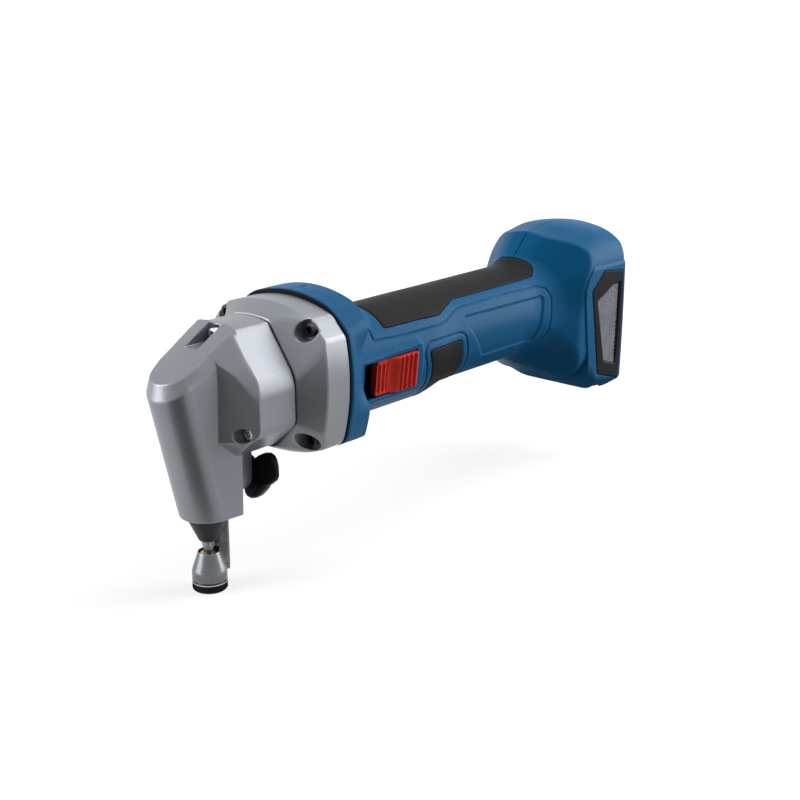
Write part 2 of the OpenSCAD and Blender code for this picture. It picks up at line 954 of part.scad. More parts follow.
module fan() {
    blades = 18;
    hub_r = shaft_r + 5;
    color([0.1, 0.1, 0.11]) {
        tube_x(fan_x0, fan_x0 + fan_w, hub_r, shaft_r);
        tube_x(fan_x0 + fan_w - 1.5, fan_x0 + fan_w, fan_r, hub_r - 0.5);
        for (i = [0 : blades - 1])
            on_axis(fan_x0)
                rotate(360 * i / blades)
                    translate([fan_r * 0.55, -0.6, 0])
                        cube([fan_r * 0.4, 1.2, fan_w - 1]);
    }
}

module motor_front_bearing() {
    color([0.75, 0.76, 0.78])
        ball_bearing(motor_bearing_x, motor_bearing_w, motor_bearing_r, shaft_r);
}

module motor_rear_bearing() {
    color([0.75, 0.76, 0.78])
        ball_bearing(rear_bearing_x, motor_bearing_w, motor_bearing_r, shaft_r);
}

module motor_bracket() {
    color([0.12, 0.12, 0.13])
        difference() {
            along_x(bracket_x0, bracket_x0 + bracket_len, stator_r);
            along_x(bracket_x0 - 1, rear_bearing_x, motor_bearing_r - 1.5);
            along_x(rear_bearing_x - 0.01, bracket_x0 + bracket_len + 1, motor_bearing_r);
            for (at = motor_leads_at)
                peg_x(bracket_x0 - 1, bracket_x0 + bracket_len + 1, at, lead_r + 0.2);
        }
}

module motor_leads() {
    color([0.75, 0.75, 0.2])
        for (at = motor_leads_at)
            peg_x(stator_x1 + coil_len, module_x0, at, lead_r);
}

module battery_leads() {
    color([0.6, 0.08, 0.07])
        for (side = [-1, 1])
            peg_x(module_x0 + module_len, bay_floor - wall - terminal_back, [side * 8, axis_h + 2], 1.5);
}

module bearing_bridge() {
    color([0.6, 0.62, 0.64])
        difference() {
            along_x(bridge_x0, case_x1, bridge_r);
            along_x(bridge_x0 - 1, case_x1 + 1, shaft_r + 1.2);
            along_x(motor_bearing_x, case_x1 + 1, motor_bearing_r);
        }
}

module sun_pinion() {
    color([0.62, 0.62, 0.64])
        difference() {
            on_axis(gear_x0)
                linear_extrude(gear_w + 1)
                    gear_outline(sun_teeth);
            along_x(gear_x0 - 1, gear_x1 + 2, shaft_r);
        }
}

module planet_gear(i) {
    color([0.68, 0.66, 0.6])
        at_planet(i, gear_x0)
            difference() {
                linear_extrude(gear_w)
                    gear_outline(planet_teeth, 0.5);
                translate([0, 0, -1])
                    cylinder(h = gear_w + 2, r = planet_pin_r + running);
            }
}

module planet_gear_1() {
    planet_gear(0);
}

module planet_gear_2() {
    planet_gear(1);
}

module planet_gear_3() {
    planet_gear(2);
}

module planet_pins() {
    color([0.75, 0.76, 0.78])
        for (i = [0 : planet_count - 1])
            at_planet(i, carrier_x0)
                cylinder(h = carrier_t + carrier_gap + gear_w + 0.5, r = planet_pin_r);
}

module crank_carrier() {
    color([0.55, 0.55, 0.57])
        difference() {
            union() {
                peg_x(-ram_depth / 2, web_x0, [0, axis_h + throw], crank_pin_r);
                along_x(web_x0, web_x1, web_r);
                along_x(web_x1, carrier_x0, crank_shaft_r);
                along_x(carrier_x0, carrier_x0 + carrier_t, carrier_r);
            }
            for (i = [0 : planet_count - 1])
                at_planet(i, carrier_x0 - 1)
                    cylinder(h = carrier_t + 2, r = planet_pin_r);
        }
}

module ring_gear() {
    color([0.58, 0.58, 0.6])
        on_axis(gear_x0 - slack)
            difference() {
                cylinder(h = gear_w + 1, r = ring_r);
                translate([0, 0, -1])
                    linear_extrude(gear_w + 3)
                        ring_space_outline(ring_teeth);
            }
}

module crank_bearing() {
    color([0.75, 0.76, 0.78])
        ball_bearing(bearing_x0, bearing_w, bearing_r, crank_shaft_r);
}

module crank_seal() {
    color([0.1, 0.1, 0.11])
        tube_x(bearing_x0 + bearing_w, flange_x1, bearing_r, crank_shaft_r + running);
}

module crank_bush() {
    color([0.72, 0.55, 0.3])
        tube_x(case_x0, case_x0 + case_wall, crank_shaft_r + 3, crank_shaft_r + running);
}

module crank_roller() {
    color([0.75, 0.76, 0.78])
        difference() {
            peg_x(-ram_depth / 2 + 0.5, web_x0 - 0.5, [0, axis_h + throw], roller_r);
            peg_x(-ram_depth / 2, web_x0, [0, axis_h + throw], crank_pin_r);
        }
}

module ram() {
    color([0.66, 0.67, 0.7])
        difference() {
            union() {
                translate([0, 0, ram_bottom])
                    cylinder(h = yoke_low + 1 - ram_bottom, r = ram_r);
                translate([-ram_depth / 2, -yoke_hw, yoke_low])
                    cube([ram_depth, 2 * yoke_hw, yoke_high - yoke_low]);
            }
            translate([-far / 2, -slot_hw, slot_low])
                cube([far, 2 * slot_hw, slot_high - slot_low]);
            translate([0, 0, ram_bottom - 1])
                cylinder(h = 12, r = punch_r);
            translate([0, 0, ram_bottom + 4])
                rotate([0, -90, 0])
                    cylinder(h = far, r = 1.5);
        }
}

module ram_bush() {
    color([0.72, 0.55, 0.3])
        difference() {
            translate([0, 0, shank_top + 0.5])
                cylinder(h = bush_top - shank_top - 0.5, r = shank_r - 0.5);
            translate([0, 0, shank_top])
                cylinder(h = far, r = ram_r + running);
        }
}

module punch() {
    color([0.8, 0.81, 0.83])
        translate([0, 0, die_top - 5.5])
            cylinder(h = ram_bottom + 11 - die_top + 5.5, r = punch_r);
}

module punch_screw() {
    color([0.2, 0.2, 0.21])
        translate([-punch_r - 0.2, 0, ram_bottom + 4])
            rotate([0, -90, 0])
                difference() {
                    cylinder(h = ram_r - punch_r - 0.7, r = 1.5);
                    translate([0, 0, ram_r - punch_r - 2.2])
                        cylinder(h = 2, r = 0.8, $fn = 6);
                }
}

module punch_guide() {
    color([0.2, 0.21, 0.23])
        difference() {
            union() {
                translate([0, 0, sleeve_low])
                    cylinder(h = cone_low - sleeve_low + 1, r = sleeve_r);
                translate([0, 0, cone_low])
                    cylinder(h = column_base - slack - cone_low, r1 = sleeve_r + 1.4, r2 = shank_r - 0.2);
                translate([0, 0, column_base - slack - 0.5])
                    cylinder(h = 3, r = shank_bore);
            }
            translate([0, 0, sleeve_low - 1])
                cylinder(h = far, r = punch_r + running);
            translate([arm_x0, -arm_hw, 0])
                cube([far, 2 * arm_hw, column_base - slack]);
        }
}

module die_carrier() {
    color([0.45, 0.47, 0.5])
        difference() {
            union() {
                translate([0, 0, column_base - slack])
                    difference() {
                        cylinder(h = shank_top - column_base + slack, r = shank_r);
                        translate([0, 0, -1])
                            cylinder(h = far, r = shank_bore);
                    }
                intersection() {
                    translate([arm_x0, -arm_hw, holder_cone_z - 2])
                        cube([far, 2 * arm_hw, column_base + 4 - holder_cone_z]);
                    difference() {
                        cylinder(h = column_base + 4, r = shank_r);
                        translate([0, 0, column_base - slack])
                            cylinder(h = far, r = shank_bore);
                    }
                }
                translate([0, 0, holder_base])
                    cylinder(h = holder_cone_z - holder_base, r = holder_r);
                translate([0, 0, holder_cone_z])
                    cylinder(h = die_top + 1.3 - holder_cone_z, r1 = holder_r, r2 = holder_top_r);
            }
            cylinder(h = far / 4, r = die_r);
            cylinder(h = holder_cone_z - 0.8, r = die_flange_r);
            translate([die_r - 1, -1.5, die_top - 6])
                cube([5, 3, 8]);
            translate([0, 0, lever_h - 3.5])
                difference() {
                    cylinder(h = 7, r = shank_r + 1);
                    cylinder(h = 7, r = shank_r - 1);
                }
        }
}

module die_insert() {
    color([0.72, 0.52, 0.26])
        difference() {
            union() {
                translate([0, 0, holder_base + 3])
                    cylinder(h = die_top - holder_base - 3, r = die_r);
                translate([0, 0, holder_base + 3])
                    cylinder(h = holder_cone_z - 0.8 - holder_base - 3, r = die_flange_r);
            }
            cylinder(h = far / 4, r = punch_r + 0.1);
        }
}

module nut_washer() {
    color([0.8, 0.81, 0.83])
        translate([0, 0, nut_h])
            difference() {
                cylinder(h = nut_washer_t, r = holder_r);
                translate([0, 0, -1])
                    cylinder(h = 3, r = die_flange_r);
            }
}

module die_nut() {
    color([0.05, 0.05, 0.05])
        difference() {
            union() {
                cylinder(h = nut_h, r = holder_r);
                cylinder(h = holder_base + 3, r = die_flange_r);
            }
            translate([0, 0, -1])
                cylinder(h = far / 4, r = punch_r + 1.2);
        }
}

// Places children at the clamp lever's pivot with their own Z along X
module at_lever(x0) {
    translate([x0, 0, lever_h])
        rotate([0, 90, 0])
            children();
}

module clamp_lever() {
    lever_x0 = boss_x1 + slack;
    wing_r = 7;
    color([0.07, 0.07, 0.08])
        difference() {
            union() {
                at_lever(lever_x0)
                    cylinder(h = lever_t, r = 8);
                at_lever(lever_x0)
                    hull() {
                        cylinder(h = lever_t, r = 6, $fn = 32);
                        translate([-2.5, wing_r - lever_reach, 0])
                            cylinder(h = lever_t, r = wing_r, $fn = 32);
                    }
                at_lever(lever_x0)
                    hull() {
                        cylinder(h = lever_t, r = 6, $fn = 32);
                        translate([9, -4, 0])
                            cylinder(h = lever_t, r = 4.5, $fn = 32);
                    }
            }
            at_lever(lever_x0 - 1)
                cylinder(h = lever_t + 2, r = lever_shaft_r);
        }
}

module lever_shaft() {
    color([0.6, 0.61, 0.63])
        difference() {
            union() {
                at_lever(shank_r + running + 0.4)
                    cylinder(h = boss_x1 + slack + lever_t - shank_r - running - 0.4, r = lever_shaft_r);
                at_lever(shank_r - 0.6)
                    cylinder(h = 2, r = 3);
            }
            at_lever(shank_r - 2)
                translate([-4, 1.5, 0])
                    cube([8, 4, 2 + running + 0.2]);
            at_lever(boss_x1 - 2)
                cylinder(h = far, r = 1.5);
        }
}

module lever_screw() {
    head_x = boss_x1 + slack + lever_t;
    color([0.25, 0.25, 0.27])
        difference() {
            union() {
                at_lever(boss_x1 - 1.5)
                    cylinder(h = head_x - boss_x1 + 1.5, r = 1.5);
                at_lever(head_x)
                    cylinder(h = 2.2, r = 5);
            }
            at_lever(head_x + 1)
                cylinder(h = 3, r = 1.6, $fn = 6);
        }
}

head_casting();
head_gasket();
head_screws();
gear_case();
case_gasket();
case_screws();
housing_left();
housing_right();
housing_screws();
top_grip();
finger_pad();
vent_frame_left();
vent_frame_right();
vent_mesh_left();
vent_mesh_right();
terminal_block();
terminal_blades();
battery_leads();
control_module();
micro_switch();
switch_button();
switch_rod();
stator();
stator_coils();
motor_leads();
rotor_shaft();
rotor_magnets();
fan();
motor_front_bearing();
motor_rear_bearing();
motor_bracket();
bearing_bridge();
sun_pinion();
planet_gear_1();
planet_gear_2();
planet_gear_3();
planet_pins();
crank_carrier();
ring_gear();
crank_bearing();
crank_seal();
crank_bush();
crank_roller();
ram();
ram_bush();
punch();
punch_screw();
punch_guide();
die_carrier();
die_insert();
nut_washer();
die_nut();
clamp_lever();
lever_shaft();
lever_screw();
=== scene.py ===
import math

import bpy
import numpy as np
import openvdb
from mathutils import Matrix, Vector


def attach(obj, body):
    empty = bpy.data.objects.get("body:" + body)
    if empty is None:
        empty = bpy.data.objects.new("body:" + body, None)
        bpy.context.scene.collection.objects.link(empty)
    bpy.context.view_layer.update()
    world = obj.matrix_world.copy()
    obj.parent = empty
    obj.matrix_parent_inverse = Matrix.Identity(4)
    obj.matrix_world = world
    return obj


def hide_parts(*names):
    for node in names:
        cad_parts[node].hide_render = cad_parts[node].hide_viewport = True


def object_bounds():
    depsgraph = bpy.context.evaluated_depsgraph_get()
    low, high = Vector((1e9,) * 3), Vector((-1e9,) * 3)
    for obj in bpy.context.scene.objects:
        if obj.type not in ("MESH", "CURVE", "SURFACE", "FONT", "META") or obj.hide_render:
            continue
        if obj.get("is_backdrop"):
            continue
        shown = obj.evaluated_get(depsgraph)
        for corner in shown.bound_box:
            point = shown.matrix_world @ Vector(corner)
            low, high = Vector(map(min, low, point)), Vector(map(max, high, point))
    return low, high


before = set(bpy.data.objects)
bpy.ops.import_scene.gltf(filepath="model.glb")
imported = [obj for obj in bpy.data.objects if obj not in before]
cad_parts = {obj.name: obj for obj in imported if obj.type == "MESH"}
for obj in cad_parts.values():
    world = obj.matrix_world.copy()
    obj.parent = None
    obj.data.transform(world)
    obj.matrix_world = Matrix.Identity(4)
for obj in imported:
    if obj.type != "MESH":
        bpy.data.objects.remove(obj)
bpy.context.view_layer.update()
scene = bpy.context.scene
MM = 0.001

# Shapes are written as fields: millimetres from the surface, below zero inside.


def both(a, b, r=0.0):
    """What two shapes share, its outer edge rounded to r."""
    sharp = np.maximum(a, b)
    if np.isscalar(r) and r <= 0:
        return sharp
    return np.minimum(-r, sharp) + np.hypot(np.maximum(a + r, 0), np.maximum(b + r, 0))


def either(a, b, r=0.0):
    """Two shapes together, the corner between them filled to r."""
    sharp = np.minimum(a, b)
    if np.isscalar(r) and r <= 0:
        return sharp
    return np.maximum(r, sharp) - np.hypot(np.maximum(r - a, 0), np.maximum(r - b, 0))


def cut(a, b, r=0.0):
    """The first shape with the second taken away."""
    return both(a, -b, r)


def ramp(low, high, v):
    """Smooth step from 0 at low to 1 at high."""
    t = np.clip((v - low) / (high - low), 0, 1)
    return t * t * (3 - 2 * t)


def box(x, y, z, low, high, r=0.0):
    """A box between two corners, its edges rounded to r."""
    mid = [(l + h) / 2 for l, h in zip(low, high)]
    half = [(h - l) / 2 - r for l, h in zip(low, high)]
    q = [np.abs(c - m) - h for c, m, h in zip((x, y, z), mid, half)]
    out = np.sqrt(sum(np.maximum(c, 0) ** 2 for c in q))
    return out + np.minimum(np.maximum(np.maximum(q[0], q[1]), q[2]), 0) - r


def path_gap(u, v, points):
    """Distance to an open line of points in the plane."""
    least = np.full(np.shape(u), 1e9)
    for (u0, v0), (u1, v1) in zip(points, points[1:]):
        du, dv = u1 - u0, v1 - v0
        t = np.clip(((u - u0) * du + (v - v0) * dv) / (du * du + dv * dv), 0, 1)
        least = np.minimum(least, np.hypot(u - u0 - t * du, v - v0 - t * dv))
    return least


def outline(u, v, corners, r=0.0):
    """Distance to a closed outline in the plane, its corners rounded to r."""
    ring = corners + corners[:1]
    inside = np.zeros(np.shape(u), bool)
    for (u0, v0), (u1, v1) in zip(ring, ring[1:]):
        crosses = (v0 > v) != (v1 > v)
        inside ^= crosses & (u < u0 + (v - v0) * (u1 - u0) / (v1 - v0 or 1e-9))
    gap = path_gap(u, v, ring)
    return np.where(inside, -gap, gap) - r


def groove(gap, width, depth):
    """How far a groove lowers the surface at a gap from its line."""
    return depth * np.exp(-((gap / (width * 0.5)) ** 2))


def slope(shape, p, h):
    """Gradient of a shape at points."""
    g = np.empty_like(p)
    for i in range(3):
        q = p.copy()
        q[:, i] += h
        up = shape(*q.T)
        q[:, i] -= 2 * h
        g[:, i] = (up - shape(*q.T)) / (2 * h)
    return g


def sharpness(shape, p, h):
    """0 on flat and hollow surfaces, up to 1 on outer edges, from how the surface bends."""
    bend = -6.0 * shape(*p.T)
    for i in range(3):
        for move in (h, -h):
            q = p.copy()
            q[:, i] += move
            bend = bend + shape(*q.T)
    return np.clip(bend / (h * h) * 0.9 - 0.25, 0, 1)


def lattice(*count):
    """Every whole-number place in a block of that many cells each way."""
    return np.stack(np.meshgrid(*[np.arange(c) for c in count], indexing="ij"), -1).reshape(-1, 3)


def grid_of(shape, low, high, step, block=10, batch=400):
    """Field values on a grid, worked out only in the blocks near the surface."""
    count = np.ceil((np.array(high) - low) / (step * block)).astype(int)
    start = np.array(low, float)
    far = block * step
    values = np.empty(tuple(count * block), np.float32)
    cells = lattice(*count)
    middles = start + (cells * block + (block - 1) / 2) * step
    at_middle = shape(*middles.T)
    near = np.abs(at_middle) < far * 1.3
    for cell, value in zip(cells[~near], at_middle[~near]):
        i, j, k = cell * block
        values[i : i + block, j : j + block, k : k + block] = far if value > 0 else -far
    local = lattice(block, block, block)
    busy = cells[near]
    for first in range(0, len(busy), batch):
        group = busy[first : first + batch]
        at = (group[:, None, :] * block + local[None]).reshape(-1, 3)
        p = start + at * step
        values[at[:, 0], at[:, 1], at[:, 2]] = shape(*p.T)
    return start, values


def placed(name, data):
    """A new object in the scene."""
    made = bpy.data.objects.new(name, data)
    scene.collection.objects.link(made)
    return made


def mesh_from(name, points, faces):
    """A smooth mesh from points in millimetres."""
    mesh = bpy.data.meshes.new(name)
    mesh.from_pydata((np.asarray(points) * MM).tolist(), [], faces)
    mesh.update()
    mesh.shade_smooth()
    return mesh


def worked_out(holder):
    """A new mesh from what an object's modifiers make."""
    return bpy.data.meshes.new_from_object(holder.evaluated_get(bpy.context.evaluated_depsgraph_get()))


def thinned(points, faces, share):
    """The same surface with fewer triangles where it is flat."""
    mesh = mesh_from("thinning", points, faces.tolist())
    holder = placed("thinning", mesh)
    holder.modifiers.new("fewer", "DECIMATE").ratio = share
    made = worked_out(holder)
    co = np.empty(len(made.vertices) * 3)
    made.vertices.foreach_get("co", co)
    made.calc_loop_triangles()
    tri = np.empty(len(made.loop_triangles) * 3, int)
    made.loop_triangles.foreach_get("vertices", tri)
    bpy.data.objects.remove(holder)
    bpy.data.meshes.remove(mesh)
    bpy.data.meshes.remove(made)
    return co.reshape(-1, 3) / MM, tri.reshape(-1, 3)


MOST_TRIANGLES = 190000
EDGE_REACH = 0.5


def moulded(name, shape, low, high, step):
    """An object whose surface is where the shape's field is zero."""
    start, values = grid_of(shape, np.array(low) - 2 * step, np.array(high) + 2 * step, step)
    grid = openvdb.FloatGrid()
    grid.copyFromArray(values)
    points, faces = grid.convertToQuads(isovalue=0.0)
    points = points.astype(float) * step + start
    faces = faces.astype(int)
    a, b, c = (points[faces[:, i]] for i in (0, 1, 2))
    if np.einsum("ij,ij->i", np.cross(b - a, c - a), a).sum() < 0:
        faces = faces[:, ::-1]
    if 2 * len(faces) > MOST_TRIANGLES:
        points, faces = thinned(points, faces, MOST_TRIANGLES / (2 * len(faces)))
    for _ in range(2):
        g = slope(shape, points, step * 0.1)
        off = shape(*points.T) / np.maximum((g * g).sum(1), 0.25)
        points = points - np.clip(off, -step, step)[:, None] * g
    g = slope(shape, points, step * 0.2)
    normals = g / np.maximum(np.linalg.norm(g, axis=1), 1e-6)[:, None]
    mesh = mesh_from(name, points, faces.tolist())
    mesh.normals_split_custom_set_from_vertices(normals.tolist())
    # Sharpness of outer edges, where the finishes paint a highlight
    edge = mesh.attributes.new("edge", "FLOAT", "POINT")
    edge.data.foreach_set("value", sharpness(shape, points, EDGE_REACH).astype(np.float32))
    return placed(name, mesh)


# Head casting

AXIS_Z = 93.0
LEVER_Z = 54.0
FLANGE_REAR = 31.5
COLUMN_FOOT = 38.0
# To the side, up, and the station of each head's face
HEAD_SCREWS = ((0.0, 124.5, 7.4), (22.6, 81.0, 6.7))


def flange_outline(a, z):
    roof = np.hypot(a, z - 83.3) - 46.1
    brow = 0.814 * (a - 12.4) + 0.581 * (z - 127.7)
    side = both(brow, a - 29.5, 3.5)
    under = 0.638 * (a - 28.5) - 0.771 * (z - 80.0)
    side = both(side, under, 2.5)
    return both(both(side, roof, 0.6), 66.5 - z, 2.5)


def about_axis(x, y, z, x0, x1, r):
    """A round bar along the motor axis."""
    return both(np.hypot(y, z - AXIS_Z) - r, np.abs(x - (x0 + x1) / 2) - (x1 - x0) / 2)


def head_shape(x, y, z):
    a = np.abs(y)
    lean = -17.0 * (z - COLUMN_FOOT) / 69.0
    flank = (a - 13.2 - 0.11 * np.clip(x - lean, 0, 30)) * 0.99
    column = np.where(x < lean, (np.hypot(x - lean, a) - 13.2) * 0.97, flank)
    crest = 123.15 + 0.59 * x
    forehead = (z - crest - 1.1 + 0.007 * a * a) * 0.86
    inset = np.interp(x, [-26, -17, -8], [2.9, 1.9, 0.2])
    nose = (column + inset * (1 + (z - crest) / 6.0)) * 0.92
    spread = 0.22 + 0.15 * ramp(-18, -2, x)
    band = (a - 12.3 - 0.3 * ramp(-6, 6, x) - spread * (crest - z)) * 0.95
    temple = -0.4465 * x + 0.73 * a + 0.5177 * z - 71.4
    cheek = either(band, temple, np.clip(0.4 * (crest - z), 0.1, 5.0))
    column = both(both(column, COLUMN_FOOT - z, 1.0), x - 10.5, 0.8)
    column = both(column, both(nose, band, 0.6), 0.3)
    facet = -0.79 * x + 0.613 * a - 0.012 * (z - 96.0) - 11.6
    jaw = -0.587 * x + 0.484 * a - 0.648 * z + 41.26
    shoulder = both(flange_outline(a, z), x - FLANGE_REAR, 0.7)
    shoulder = both(shoulder, both(facet, cheek, 0.3 + 4.0 * ramp(0, 9, x)), 0.5)
    shoulder = both(shoulder, jaw, 0.7)
    head = both(either(column, shoulder, 0.25), forehead, 0.4)
    throat = np.where(z < LEVER_Z, np.hypot(a, z - LEVER_Z), a)
    boss = both(both(throat - 10.3, x - 14.5, 1.0), np.maximum(8 - x, z - 72))
    collar = both(both(throat - 9.0, x - 22.0, 1.0), np.maximum(8 - x, z - 72))
    head = either(head, either(boss, collar, 0.8), 0.8)
    for side, height, _ in HEAD_SCREWS:
        gap = np.hypot(a - side, z - height)
        head = cut(head, both(gap - 3.6, x - 12.2), 0.3)
        head = cut(head, gap - 2.2)
    head = cut(head, box(x, y, z, (-14, -4.3, 120.4), (10.9, 4.3, 140), 0.5), 0.3)
    head = cut(head, both(np.hypot(x, y) - 10.6, z - 59.5), 0.4)
    head = cut(head, both(np.hypot(x, y) - 10.0, z - 73.7))
    head = cut(head, box(x, y, z, (-7, -11, 73), (7, 11, 111.8), 0.5))
    head = cut(head, about_axis(x, y, z, 6, 12.3, 9.3))
    head = cut(head, about_axis(x, y, z, 12, 21.5, 7.0))
    head = cut(head, about_axis(x, y, z, 20.5, 40, 14.0))
    return cut(head, both(np.hypot(y, z - LEVER_Z) - 4.05, 8 - x))


# Gear case

CASE_FRONT, CASE_REAR = 31.9, 57.6
CASE_SCREWS = ((28.5, 124.5), (28.5, 70.5))
CASE_SCREW_FACE = 41.9


def flank(a, z, r):
    """The broad curve down the sides of gear case and collar."""
    return np.hypot(a + 60.0, z - 97.8) - r


def case_shape(x, y, z):
    a = np.abs(y)
    ahead = np.maximum(43.0 - x, 0)
    roof = np.hypot(a, z - 52.5) - 82.0
    roof = np.maximum(roof, (roof + 0.42 * ahead) * 0.92)
    side = flank(a, z, 100.5)
    side = both(side, (side + 0.95 * ahead) * 0.725, 1.2)
    bevel = 0.731 * (a - 29.5) + 0.682 * (z - 129.0)
    brow = -0.813 * x + 0.471 * a + 0.344 * z - 23.86
    floor = 60.5 - z + 0.0045 * a * a
    floor = np.maximum(floor, (floor + 0.45 * ahead) * 0.91)
    hem = 0.731 * (a - 33.1) - 0.682 * (z - 65.4)
    chin = -0.72 * (x - CASE_FRONT) + 0.47 * (a - 20.5) - 0.51 * (z - 73.0)
    case = both(both(roof, side, 0.8), both(bevel, brow, 0.8), 0.8)
    case = both(both(case, floor, 1.5), both(hem, chin, 1.0), 1.0)
    case = both(case, np.maximum(CASE_FRONT - x, x - CASE_REAR), 0.7)
    for side_at, height in CASE_SCREWS:
        gap = np.hypot(a - side_at, z - height)
        case = cut(case, both(gap - 5.0, x - 44.3), 0.6)
        case = cut(case, gap - 2.2)
    for side_at, height, _ in HEAD_SCREWS:
        case = cut(case, both(np.hypot(a - side_at, z - height) - 2.0, x - 35.6))
    case = cut(case, about_axis(x, y, z, 30, 60, 9.0))
    case = cut(case, about_axis(x, y, z, 35.9, 60, 25.0))
    return cut(case, about_axis(x, y, z, 49.5, 60, 28.0))


# Handle and foot as one solid, before it is hollowed and split

COLLAR_FRONT, COLLAR_REAR = 58.0, 73.2
ROLL_R = 27.8
RIDGE_R = 44.6
FOOT_REAR = 302.0
WALL = 3.0


def beside_switch(z):
    """1 at the switch's height, 0 above and below it."""
    return ramp(77, 94, z) * ramp(121, 107, z)


def collar_outline(a, z, behind=0.0):
    roof = np.hypot(a, z - 62.0) - 75.0
    bevel = 0.743 * (a - 30.0) + 0.669 * (z - 130.5)
    side = flank(a, z, 100.8) + (0.13 + 0.39 * beside_switch(z)) * behind
    floor = 60.0 - z + 0.0045 * a * a
    hem = 0.731 * (a - 33.5) - 0.682 * (z - 65.0)
    return both(both(both(roof, bevel, 3.0), side, 0.8), both(floor, hem, 1.5), 1.0)


def handle_round(x, y, z):
    lift = ramp(134, 160, x)
    return np.hypot(y, z - 92.7 - 1.9 * lift) - 28.2 + 1.9 * lift


def switch_frame(y, z):
    """Side offset and height in the switch's own tilted directions."""
    c, s = math.cos(math.radians(6)), math.sin(math.radians(6))
    return y * c + (z - AXIS_Z) * s, (z - AXIS_Z) * c - y * s


def unrolled(y, z):
    """Length round the handle from its top line, alike on both sides."""
    return ROLL_R * np.arctan2(np.abs(y), z - AXIS_Z)


# Outlines on the unrolled handle, then on the foot's side
GRIP_EDGE = [
    (104, -40), (105, 21.5), (146, 22.5), (163, 15.5), (226, 15.5), (236, 15.3), (240.5, 12.5), (243, 7),
    (243.5, 0), (243.5, -40),
]
PAD_EDGE = [(133.5, 42.5), (158, 42.5), (162, 60), (163, 120), (142, 120), (138, 60)]
LABEL_EDGE = [(167, 30.5), (233, 31.5), (225, 54), (182, 54)]
SEAM_LINE = [
    (90, 8), (93.5, 17), (92.5, 27.5), (112, 29), (142, 29.3), (150, 28), (156, 25), (163, 22.6),
    (200, 22), (233, 23.2), (239, 26.5), (240.5, 32), (236, 50), (230, 58), (214, 62.5), (186, 66),
]
VENT_EDGE = [(279.5, 115), (300, 112.5), (299.3, 46), (276.5, 53), (267.2, 104.6)]
VENT_MOUTH = [(274, 97.5), (290, 105.1), (296, 105.3), (294, 57), (283, 60.4)]
# The front edge of the foot's rim: stations along X at heights
RIM_HEIGHTS = [45, 55, 62, 74, 87, 99, 106, 113, 120, 126]
RIM_STATIONS = [267, 266.5, 266, 264.5, 262.5, 261, 261.3, 264.5, 271, 276]


def foot_shape(x, y, z):
    a = np.abs(y)
    up = z - AXIS_Z
    out = np.hypot(a, up)
    turn = np.degrees(np.arctan2(a, np.maximum(up, 1e-6)))
    turn = np.hypot(turn, 3.0) - 3.0
    reach = 252.5 + 16.0 * ramp(6, 48, turn) + 14.0 * ramp(45, 90, turn)
    ridge = RIDGE_R + 2.2 * ramp(12, 44, turn)
    steep = (ridge - 27.6) / (reach - 235.5 - 6.5 * ramp(0, 50, turn))
    upper = (out - ridge + steep * (reach - x)) / np.sqrt(1 + 1.5 * steep**2)
    belly = (59.0 - 0.49 * (x - 245.0) - z) * 0.898
    lower = both(belly, (a - 26.5 - 0.38 * (x - 232.0)) * 0.935, 26.0 - 14.0 * ramp(232, 278, x))
    flare = lower + (upper - lower) * ramp(-8, 8, up)
    swell = ridge + 4.6 * ramp(252, 290, x) * (1 - 0.7 * ramp(20, 45, turn))
    roof = both((out - swell) * 0.95, (z - 138.0 + 0.005 * a * a - 0.2 * (FOOT_REAR - x)) * 0.92, 5.0)
    side = a - 36.8 + 0.00028 * (z - 100.0) ** 2
    ahead = np.maximum(300.0 - x, 0)
    hem = both(0.56 * (a - 35.0) - 0.83 * (z - 45.0 - 0.14 * ahead), 36.6 + 0.1 * ahead - z, 3.0)
    rear = x - FOOT_REAR
    front = both(both(roof, side + 0.8, 4.0), both(hem + 0.8, rear, 0.8), 1.5)
    front = both(front, flare, 0.9)
    rim = both(both(side, hem, 2.0), np.interp(z, RIM_HEIGHTS, RIM_STATIONS) - x, 0.5)
    rim = both(rim, belly - 2.0 * ramp(27, 33, a) * ramp(268, 286, x), 12.0 - 11.2 * ramp(267, 286, x))
    rim = both(rim, rear, 0.8)
    return front, both(rim, both(0.6 * (a - 36.0) + 0.8 * (z - 118.5), z - 122.0, 1.5), 1.5)


def solid_shape(x, y, z):
    a = np.abs(y)
    rise = (z - AXIS_Z) / np.maximum(np.hypot(y, z - AXIS_Z), 1)
    grip = handle_round(x, y, z)
    ring = collar_outline(a, z, np.clip(x - 60.0, 0, 15))
    reach = 4.0 + 10.0 * ramp(0.3, 0.6, rise) + 19.0 * ramp(0.4, 0.95, rise)
    t = np.clip((x - 70.0) / reach, 0, 1)
    neck = ((1 - t) * (ring + 0.6) + t * (grip + 3.0)) * 0.9
    neck = both(neck, np.maximum(66.0 - x, x - 110.0))
    collar_end = x - COLLAR_REAR - 2.3 * (1 - beside_switch(z))
    collar = both(both(ring, COLLAR_FRONT - x, 1.0), collar_end, 1.2)
    body = both(grip, np.maximum(68 - x, x - 262))
    body = either(body, either(collar, neck, 1.0), 2.5)
    side, up = switch_frame(y, z)
    lip = box(x, side, up, (72, -29.6, -12.2), (123, -10, 12.2), 1.5)
    lip = both(lip, -side - 29.6 + 0.035 * np.maximum(x - 84, 0))
    body = either(body, lip, 4.0)
    front, rim = foot_shape(x, y, z)
    return either(either(front, body, 6.0), rim)


def grip_gap(x, y, z):
    return both(outline(x, unrolled(y, z), GRIP_EDGE, 1.5), np.hypot(y, z - AXIS_Z) - 31.2, 5.0)


def pad_gap(x, y, z):
    return outline(x, unrolled(y, z), PAD_EDGE, 2.0)


